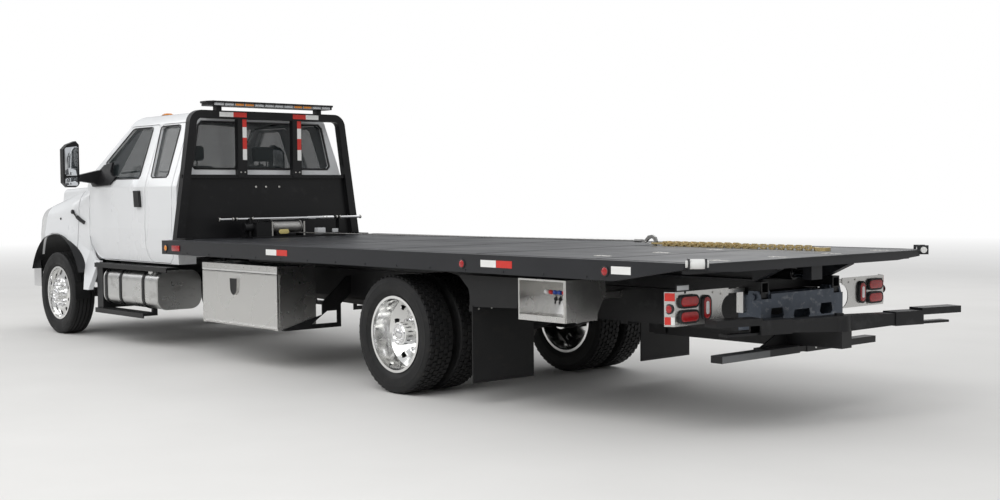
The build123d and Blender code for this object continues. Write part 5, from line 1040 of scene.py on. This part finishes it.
class TOW_OT_winch(Operator):
    """Adds the rope windings, motor, valve box, plate, hoses and tension bar fittings"""
    bl_idname = "tow.winch"
    bl_label = "Winch"

    def execute(self, context):
        turns = [(-120, 52.4)]
        for k in range(ROPE_TURNS):
            y = -118 + ROPE_PITCH * k
            turns += [(y + 1.5, 56.5), (y + 5, 58.4), (y + 8.5, 56.5), (y + 10, 53.6)]
        turns.append((200, 52.4))
        done(spun(turns, (WINCH_X, 0, WINCH_Z), steps=36), "rope_windings", "cable_drum", "rope_steel",
             angle=60)
        motor = [(244, 0), (244, 40), (250, 46), (330, 46), (334, 41), (344, 41), (348, 48), (404, 48),
                 (410, 42),
                 (414, 0)]
        done(spun(motor, (WINCH_X, 0, WINCH_Z - 6), steps=28), "winch_motor", "carrier_deck", "black_paint")
        done([block((WINCH_X - 98, -395, 1146), (WINCH_X - 30, -300, 1212), 5),
              block((WINCH_X - 90, -560, 1160), (WINCH_X - 60, -500, 1200), 4)], "valve_box", "carrier_deck",
             "chrome", "grey_box")
        strips = []
        for y in (-150, 230):
            x = meet("winch_frame", (2500, y, WINCH_Z), WAY["X"])[0]
            strips.append(block((x - 3, y - 9, 1142), (x - 0.3, y + 9, 1284), 1, 1))
        done(strips, "winch_cheek_strips", "carrier_deck", "chrome", "bright_bolt")
        sleeves = [bolt((WINCH_X, (y0 + y1) / 2, TENSION_BAR_Z), "Y", 13.5, y1 - y0, 1, 20) for y0,
                   y1 in SLEEVES]
        done(sleeves, "tension_bar_sleeves", "carrier_deck", "chrome")
        done(block((WINCH_X - 96, -30, 1146), (WINCH_X + 20, 190, 1176), 5), "winch_tray", "carrier_deck",
             "black_paint")
        collars = [disc((WINCH_X, y, TENSION_BAR_Z), "Y", 19, 16, 3, 20) for y in COLLARS_Y]
        done(collars, "tension_bar_collars", "carrier_deck", "chrome", "bright_bolt")
        roller = [(-560, 14), (-545, 17), (-240, 17), (-225, 14), (-225, 12.2), (-560, 12.2), (-560, 14)]
        done(spun(roller, (WINCH_X, 0, TENSION_BAR_Z), steps=24), "tension_roller", "carrier_deck", "chrome")
        done(slab(oval(120, 1186, 120, 46, 3), "YZ", WINCH_X - 114, 3, 0.6), "bare_plate", "carrier_deck",
             "black_paint", "label_plate")
        hoses = [rod([(WINCH_X + 20, y, 1270), (WINCH_X + 60, y - 8, 1292), (WINCH_X + 110, y - 30, 1272),
                      (WINCH_X + 140, y - 60, 1200), (WINCH_X + 150, y - 80, 1142)], 7)
                 for y in (300, 322, 344)]
        done(hoses, "winch_hoses", "carrier_deck", "black_plastic", "seal_rubber", 60)
        return {"FINISHED"}


class TOW_OT_rigging(Operator):
    """Adds the strands of the winch rope and the keeper of its hook"""
    bl_idname = "tow.rigging"
    bl_label = "Rigging"

    def execute(self, context):
        a = at(*ROPE_FROM)
        b = at(*ROPE_TO)
        way = (b - a).normalized()
        flat = way.cross(Vector((0, 0, 1))).normalized()
        high = flat.cross(way)
        strands = []
        for k in range(STRANDS):
            line = []
            for i in range(ROPE_STEPS + 1):
                turn = 2 * pi * (i / STEPS_A_TURN + k / STRANDS)
                line.append(a + (b - a) * i / ROPE_STEPS
                            + (flat * cos(turn) + high * sin(turn)) * STRAND_OFF / 1000)
            strands.append(bead(line, STRAND_RADIUS))
        done(strands, "rope_strands", "carrier_deck", "rope_steel", angle=60)
        done(rod([(-994, -600, 1160), (-1040, -598, 1140), (-1080, -606, 1130)], 3), "hook_keeper",
             "carrier_deck",
             "rope_steel", "bright_bolt", 60)
        return {"FINISHED"}


# Tail
PANEL_X = -2840
TAIL_LAMPS = [  # y, z, width, height
    (1043, 871, 190, 84),
    (1043, 775, 190, 84),
    (874, 822, 88, 160),
]
CORNER_MARKS = [  # finish, from and to as shares of the panel's corner, z from, z to
    ("tape_red", 0.03, 0.97, 878, 928),
    ("tape_red", 0.4, 0.97, 730, 778),
    ("tape_white", 0.03, 0.38, 730, 778),
]
PANEL_BOLTS = [(720, 900), (1150, 905), (1150, 740), (960, 735), (800, 915)]  # y, z
WEB_BOLTS_Y = (250, 350)


def corner_mark(s, share0, share1, z0, z1):
    """Tape round the slanted corner of a tail panel."""
    x0, y0 = PANEL_X - 1.5 + 59.5 * share0, 1166 + 33.5 * share0
    x1, y1 = PANEL_X - 1.5 + 59.5 * share1, 1166 + 33.5 * share1
    return slab([(x0, s * y0), (x1, s * y1), (x1 - 0.8, s * (y1 + 1.5)), (x0 - 0.8, s * (y0 + 1.5))], "XY",
                z0,
                z1 - z0)


class TOW_OT_tail(Operator):
    """Adds the tail lamps' grommets and lenses, tape, side markers, plate holder and bolts"""
    bl_idname = "tow.tail"
    bl_label = "Tail"

    def execute(self, context):
        grommets = []
        lenses = []
        pale = []
        tapes = {}
        markers = []
        rings = []
        for s in (-1, 1):
            for y, z, w, h in TAIL_LAMPS:
                grommets.append(rod([(PANEL_X - 14, a, b) for a, b in oval(s * y, z, w - 10, h - 10)], 7,
                                    closed=True))
                lens = slab(oval(s * y, z, w - 24, h - 24), "YZ", PANEL_X - 20, 4.5, 1.5)
                inset(lens, lambda face: face.normal.x < -0.9 and face.calc_area() > 0.002, 10, 1.5)
                lenses.append(lens)
                if h > w:
                    pale.append(slab(oval(s * y, z, 30, 84), "YZ", PANEL_X - 23.5, 3, 1))
            for finish, *place in CORNER_MARKS:
                tapes.setdefault(finish, []).append(corner_mark(s, *place))
            place = (PANEL_X + 29, s * 1184, 828)
            markers.append(spun([(0, 25), (s * 8, 24), (s * 11, 16), (s * 12, 0)], place, steps=24))
            rings.append(spun([(0, 32), (s * 7, 32), (s * 9, 28), (s * 7, 24), (0, 24)], place, steps=24))
        done(grommets, "lamp_grommets", "chassis", "black_plastic", "seal_rubber", 60)
        done(lenses, "tail_lenses", "chassis", "lamp_red")
        done(pale, "reverse_lenses", "chassis", "lamp_red", "knob_white")
        done_groups(tapes, "tail_", "chassis", "stainless")
        done(markers, "tail_side_markers", "chassis", "lamp_red")
        done(rings, "tail_marker_rings", "chassis", "black_plastic", "seal_rubber")
        holder = slab(rectangle(1030, 1160, 934, 982), "YZ", PANEL_X - 4, 4, 1)
        inset(holder, lambda face: face.normal.x < -0.9, 7, -1.5)
        done([holder, block((PANEL_X, 1060, 920), (PANEL_X + 6, 1080, 946), 1, 1)], "plate_holder", "chassis",
             "black_plastic")
        done(slab(rectangle(1039, 1151, 943, 973), "YZ", PANEL_X - 4.6, 1.6, 0.4), "blank_plate", "chassis",
             "stainless", "grey_box")
        bolts = [bolt((PANEL_X - 3, s * y, z), "X", 7, 5) for s in (-1, 1) for y, z in PANEL_BOLTS]
        bolts += [bolt((-2900, s * y, 838), "X", 12, 9, 2) for s in (-1, 1) for y in WEB_BOLTS_Y]
        done(bolts, "tail_bolts", "chassis", "stainless", "bright_bolt")
        return {"FINISHED"}


LEVER_X = -1637
LEVER_PITCH = 44
KNOBS = ["knob_white", "knob_red", "knob_blue", "knob_blue", "knob_red", "knob_white"]
KNOB_LEAN = -18
KNOB_AT = Vector((0, 1.094, 0.868))


class TOW_OT_controls(Operator):
    """Adds the coloured knobs and the gaiters of the deck's control levers"""
    bl_idname = "tow.controls"
    bl_label = "Control levers"

    def execute(self, context):
        groups = {}
        levers_x = [LEVER_X - LEVER_PITCH * i for i in range(len(KNOBS))]
        for x, finish in zip(levers_x, KNOBS):
            knob = spun([(0, 0), (3, 8), (12, 15), (24, 16), (36, 13), (42, 6), (43, 0)], (x, 0, 0), steps=16)
            turned(knob, KNOB_LEAN, "X", (x, 0, 0))
            bpy.ops.transform.translate(value=KNOB_AT)
            groups.setdefault(finish, []).append(both(knob))
        gaiters = [rod([(x, s * 1022, 818), (x, s * 1034, 822)], 13) for s in (-1, 1) for x in levers_x]
        for finish, knobs in groups.items():
            done(knobs, "lever_" + finish, "chassis", "black_plastic", finish, 60)
        done(gaiters, "lever_gaiters", "chassis", "black_plastic", "seal_rubber", 60)
        return {"FINISHED"}


# Tank, steps and toolboxes
TANK_CAP = (4285, 1040, 796)
TANK_ENDS_X = (4075, 5262)
STUD_ROWS = [(838.2, (1060, 1100)), (350.2, (1000, 1040, 1080))]  # z, rows of y
BOX_SIDE = 1200
BOX_LATCH = (2380, 745)  # x, z


class TOW_OT_tank(Operator):
    """Adds the fuel tank's cap and seams, and the grips of the steps"""
    bl_idname = "tow.tank"
    bl_label = "Tank and steps"

    def execute(self, context):
        cap = spun([(0, 0), (0, 50), (6, 52), (26, 50), (32, 40), (34, 0)], TANK_CAP, "Z", 24)
        lugs = ringed(block((4321, 1036, 802), (4341, 1044, 824), 2, 1), TANK_CAP, "Z", 4)
        done([cap, lugs], "tank_cap", "chassis", "chrome")
        seams = [rod([(x, a, b) for a, b in rounded(855, 593, 137, 87, 110.5)], 3.2, closed=True)
                 for x in TANK_ENDS_X]
        done(seams, "tank_seams", "chassis", "tank_metal")
        stud = spun([(0, 11), (2.5, 10), (3.2, 6.5), (0.6, 5.5), (0.4, 0)], (0, 0, 0), "Z", 12)
        grips = [(x, s * y, z) for s in (-1, 1) for x in range(4380, 5440, 46) for z, rows in STUD_ROWS
                 for y in rows]
        done(placed(stud, grips), "step_grips", "chassis", "black_paint")
        return {"FINISHED"}


class TOW_OT_toolbox_fittings(Operator):
    """Adds the toolboxes' latches, shields, trims, hems, hinges and rivets"""
    bl_idname = "tow.toolbox_fittings"
    bl_label = "Toolbox fittings"

    def execute(self, context):
        shield = grown([(2440, 800), (2320, 800)] + through((2325, 720), (2345, 668), (2380, 650))
                       + through((2380, 650), (2415, 668), (2435, 720))[1:], 1)
        for side, s in SIDES:
            body = side + "_toolbox_door"
            door = "toolbox_door_" + side
            x, z = BOX_LATCH
            y = meet_side(door, x, z, s)[1]
            done([spun([(0, 24), (s * 4, 24), (s * 5, 20), (s * 5, 14), (s, 12), (0, 24)], (x, y, z),
                       steps=24),
                  disc((x, y + s * 3, z), "Y", 8, 8, sides=16),
                  block((x - 28, y, z + 23), (x + 28, y + s * 7, z + 37))], "toolbox_latch_" + side, body,
                 "chrome")
            front = meet_side(door, 2330, 790, s)[1]
            plate = slab(shield, "XZ", front + (0.2 if s > 0 else -1.6), 1.4)
            inset(plate, lambda face, s=s: face.normal.y * s > 0.9, 12, -0.6)
            done(plate, "toolbox_shield_" + side, body, "black_plastic", "black_paint")
            done(block((1668, s * 1199, 862), (2962, s * 1202, 882), 1, 1), "toolbox_top_trim_" + side,
                 "chassis",
                 "stainless", "polished")
            hem = [(a, s * (BOX_SIDE - 1), b) for a, b in rectangle(1676, 2954, 401, 849)]
            done(rod(hem, 3, closed=True), "toolbox_door_hem_" + side, body, "stainless")
        hinge = bolt((0, 1196, 388), "X", 7, 58, sides=12)
        done(both(placed(hinge, [(1700 + i * 60.5, 0, 0) for i in range(21)])), "toolbox_hinges", "chassis",
             "stainless")
        rivets = placed(bolt((0, BOX_SIDE + 1.4, 0), "Y", 6, 4, 1.2, 12),
                        [(x, 0, 905) for x in range(1700, 2940, 130)])
        done(both(rivets), "toolbox_rivets", "chassis", "stainless", "bright_bolt")
        return {"FINISHED"}


class TOW_OT_feet(Operator):
    """Adds the worn faces and the pale dots of the wheel lift's crosspiece"""
    bl_idname = "tow.feet"
    bl_label = "Wheel lift wear"

    def execute(self, context):
        done([block((-2976.6, 380, 473), (-2975.2, 872, 517), 0.4, 1),
              block((-2974, 400, 518.2), (-2886, 870, 519.4), 0.4, 1)], "foot_wear", "wheel_lift_boom",
             "frame_paint", "worn_foot")
        dots = placed(bolt((0, 0, 0), "X", 9, 3, sides=14),
                      [(-2976, y, 496) for y in (-470, -130, -240, -290)])
        done(dots, "foot_dots", "wheel_lift_boom", "frame_paint", "tape_white")
        return {"FINISHED"}


class TOW_OT_flaps(Operator):
    """Adds the mud flaps' clamping strips and bolts"""
    bl_idname = "tow.flaps"
    bl_label = "Mud flaps"

    def execute(self, context):
        strips = [block((-959, s * 610, z0), (-955.4, s * 1195, z1), 1.2, 1) for s in (-1, 1)
                  for z0, z1 in ((700, 738), (182, 190))]
        bolts = [bolt((-961, s * (650 + k * 125), 719), "X", 9, 5, 1.5) for s in (-1, 1) for k in range(5)]
        done(strips, "flap_strips", "chassis", "black_paint")
        done(bolts, "flap_bolts", "chassis", "black_paint", "bright_bolt")
        return {"FINISHED"}


# Stage
SKY = [(0, (0.78, 0.78, 0.77, 1)), (0.13, (0.5, 0.5, 0.5, 1)), (0.3, (0.92, 0.93, 0.95, 1)),
       (1, (0.98, 0.99, 1, 1))]
WHITE = (1, 1, 1, 1)
FLOOR_FADE = (9, 34)  # metres from the middle, where the floor begins and ends to turn white
LAMPS = [  # name, place, size, power
    ("key", (-6, 9, 9), 9, 620),
    ("fill", (9, 7, 8), 8, 300),
    ("back", (2, -10, 8), 8, 260),
]
LAMP_TARGET = Vector((0, 0, 0.8))
# The photo's camera: place in the drawing's frame in metres, turns in radians, and its focal length in
# pixels of a picture 1000 pixels wide
EYE = (-8.2746, 7.4688, 1.5645)
YAW, PITCH, ROLL = -0.7288, -0.0434, -0.0085
FOCAL_PIXELS = 1333.6
PICTURE_PIXELS = 1000
SENSOR = 36


def make_sky(strength):
    """White where the camera sees it, and a grey ramp from below to above as light."""
    world = bpy.data.worlds.new("sky")
    world.use_nodes = True
    tree = world.node_tree
    tree.nodes.clear()
    out = add_node(tree, "OutputWorld")
    seen = add_node(tree, "Background", Color=WHITE)
    lit = add_node(tree, "Background", Strength=strength)
    where = add_node(tree, "TexCoord")
    split = add_node(tree, "SeparateXYZ")
    ramp = add_node(tree, "ValToRGB")
    stops = ramp.color_ramp.elements
    for place, _ in SKY[1:-1]:
        stops.new(place)
    for stop, (place, colour) in zip(stops, SKY):
        stop.position = place
        stop.color = colour
    rays = add_node(tree, "LightPath")
    mix = add_node(tree, "MixShader")
    wire(tree, (where, "Generated", split, "Vector"), (split, "Z", ramp, "Fac"),
         (ramp, "Color", lit, "Color"),
         (rays, "Is Camera Ray", mix, "Fac"), (lit, "Background", mix, 1), (seen, "Background", mix, 2),
         (mix, "Shader", out, "Surface"))
    return world


def make_floor():
    """Pale floor that fades to white far from the vehicle, where the camera sees it."""
    free()
    bpy.ops.mesh.primitive_circle_add(vertices=96, radius=90, fill_type="NGON", location=(0, 0, -0.0005))
    floor = settle(bpy.context.object)
    floor.name = "floor"
    pale = bpy.data.materials.new("floor")
    pale.use_nodes = True
    tree = pale.node_tree
    shader = tree.nodes["Principled BSDF"]
    shader.inputs["Roughness"].default_value = 0.9
    where = add_node(tree, "TexCoord")
    grain = add_node(tree, "TexNoise", Scale=0.9, Detail=8)
    tone = add_node(tree, "Mix", COLOURS, A=(0.72, 0.71, 0.69, 1), B=(0.8, 0.79, 0.77, 1))
    glow = add_node(tree, "Emission", Color=WHITE)
    far = add_node(tree, "VectorMath", {"operation": "LENGTH"})
    fade = add_node(tree, "MapRange", From_Min=FLOOR_FADE[0], From_Max=FLOOR_FADE[1])
    rays = add_node(tree, "LightPath")
    amount = add_node(tree, "Math", {"operation": "MULTIPLY"})
    mix = add_node(tree, "MixShader")
    wire(tree, (where, "Object", grain, "Vector"), (grain, "Fac", tone, "Factor"),
         (tone, "Result", shader, "Base Color"), (where, "Object", far, 0), (far, "Value", fade, "Value"),
         (fade, "Result", amount, 0), (rays, "Is Camera Ray", amount, 1), (amount, "Value", mix, "Fac"),
         (shader, "BSDF", mix, 1), (glow, "Emission", mix, 2),
         (mix, "Shader", tree.nodes["Material Output"], "Surface"))
    floor.data.materials.append(pale)


class TOW_OT_stage(Operator):
    """Sets up the sky light, the floor, the lamps and the camera"""
    bl_idname = "tow.stage"
    bl_label = "Stage"

    def execute(self, context):
        scene = context.scene
        scene.view_settings.view_transform = "Standard"
        scene.world = make_sky(scene.tow_truck.light)
        make_floor()
        for name, place, size, power in LAMPS:
            lamp = bpy.data.lights.new(name, "AREA")
            lamp.size = size
            lamp.energy = power
            holder = bpy.data.objects.new(name, lamp)
            scene.collection.objects.link(holder)
            holder.location = place
            holder.rotation_euler = (LAMP_TARGET - Vector(place)).to_track_quat("-Z", "Y").to_euler()
        camera = bpy.data.cameras.new("camera")
        camera.sensor_width = SENSOR
        camera.lens = FOCAL_PIXELS * SENSOR / PICTURE_PIXELS
        camera.clip_end = 300
        eye = bpy.data.objects.new("camera", camera)
        scene.collection.objects.link(eye)
        ahead = Vector((cos(YAW) * cos(PITCH), sin(YAW) * cos(PITCH), sin(PITCH)))
        right = Vector((sin(YAW), -cos(YAW), 0))
        up = right.cross(ahead)
        side = right * cos(ROLL) + up * sin(ROLL)
        top = up * cos(ROLL) - right * sin(ROLL)
        place = Vector(EYE) - Vector((SHIFT, 0, 0))
        eye.matrix_world = Matrix([*zip(side, top, -ahead, place), (0, 0, 0, 1)])
        scene.camera = eye
        return {"FINISHED"}


STEPS = [TOW_OT_stage, TOW_OT_finishes, TOW_OT_tyres, TOW_OT_wheel_fittings, TOW_OT_cab_trim, TOW_OT_seats,
         TOW_OT_mirror_glass, TOW_OT_front, TOW_OT_deck_marks, TOW_OT_headboard_marks, TOW_OT_light_bar,
         TOW_OT_winch, TOW_OT_rigging, TOW_OT_tail, TOW_OT_controls, TOW_OT_tank, TOW_OT_toolbox_fittings,
         TOW_OT_feet, TOW_OT_flaps]


class TOW_PT_panel(Panel):
    """Lists the truck's settings and steps"""
    bl_idname = "TOW_PT_panel"
    bl_label = "Flatbed tow truck"
    bl_space_type = "VIEW_3D"
    bl_region_type = "UI"
    bl_category = "Tow truck"

    def draw(self, context):
        for name in ("paint", "black", "deck", "tape_red", "tape_height", "seal", "lug_rows", "light"):
            self.layout.prop(context.scene.tow_truck, name)
        for step in STEPS:
            self.layout.operator(step.bl_idname)


CLASSES = [TowTruckSettings] + STEPS + [TOW_PT_panel]


def register():
    for item in CLASSES:
        bpy.utils.register_class(item)
    bpy.types.Scene.tow_truck = PointerProperty(type=TowTruckSettings)


def unregister():
    del bpy.types.Scene.tow_truck
    for item in reversed(CLASSES):
        bpy.utils.unregister_class(item)


def main():
    register()
    for step in STEPS:
        getattr(bpy.ops.tow, step.bl_idname.split(".")[1])()
    free()


if __name__ == "__main__":
    main()
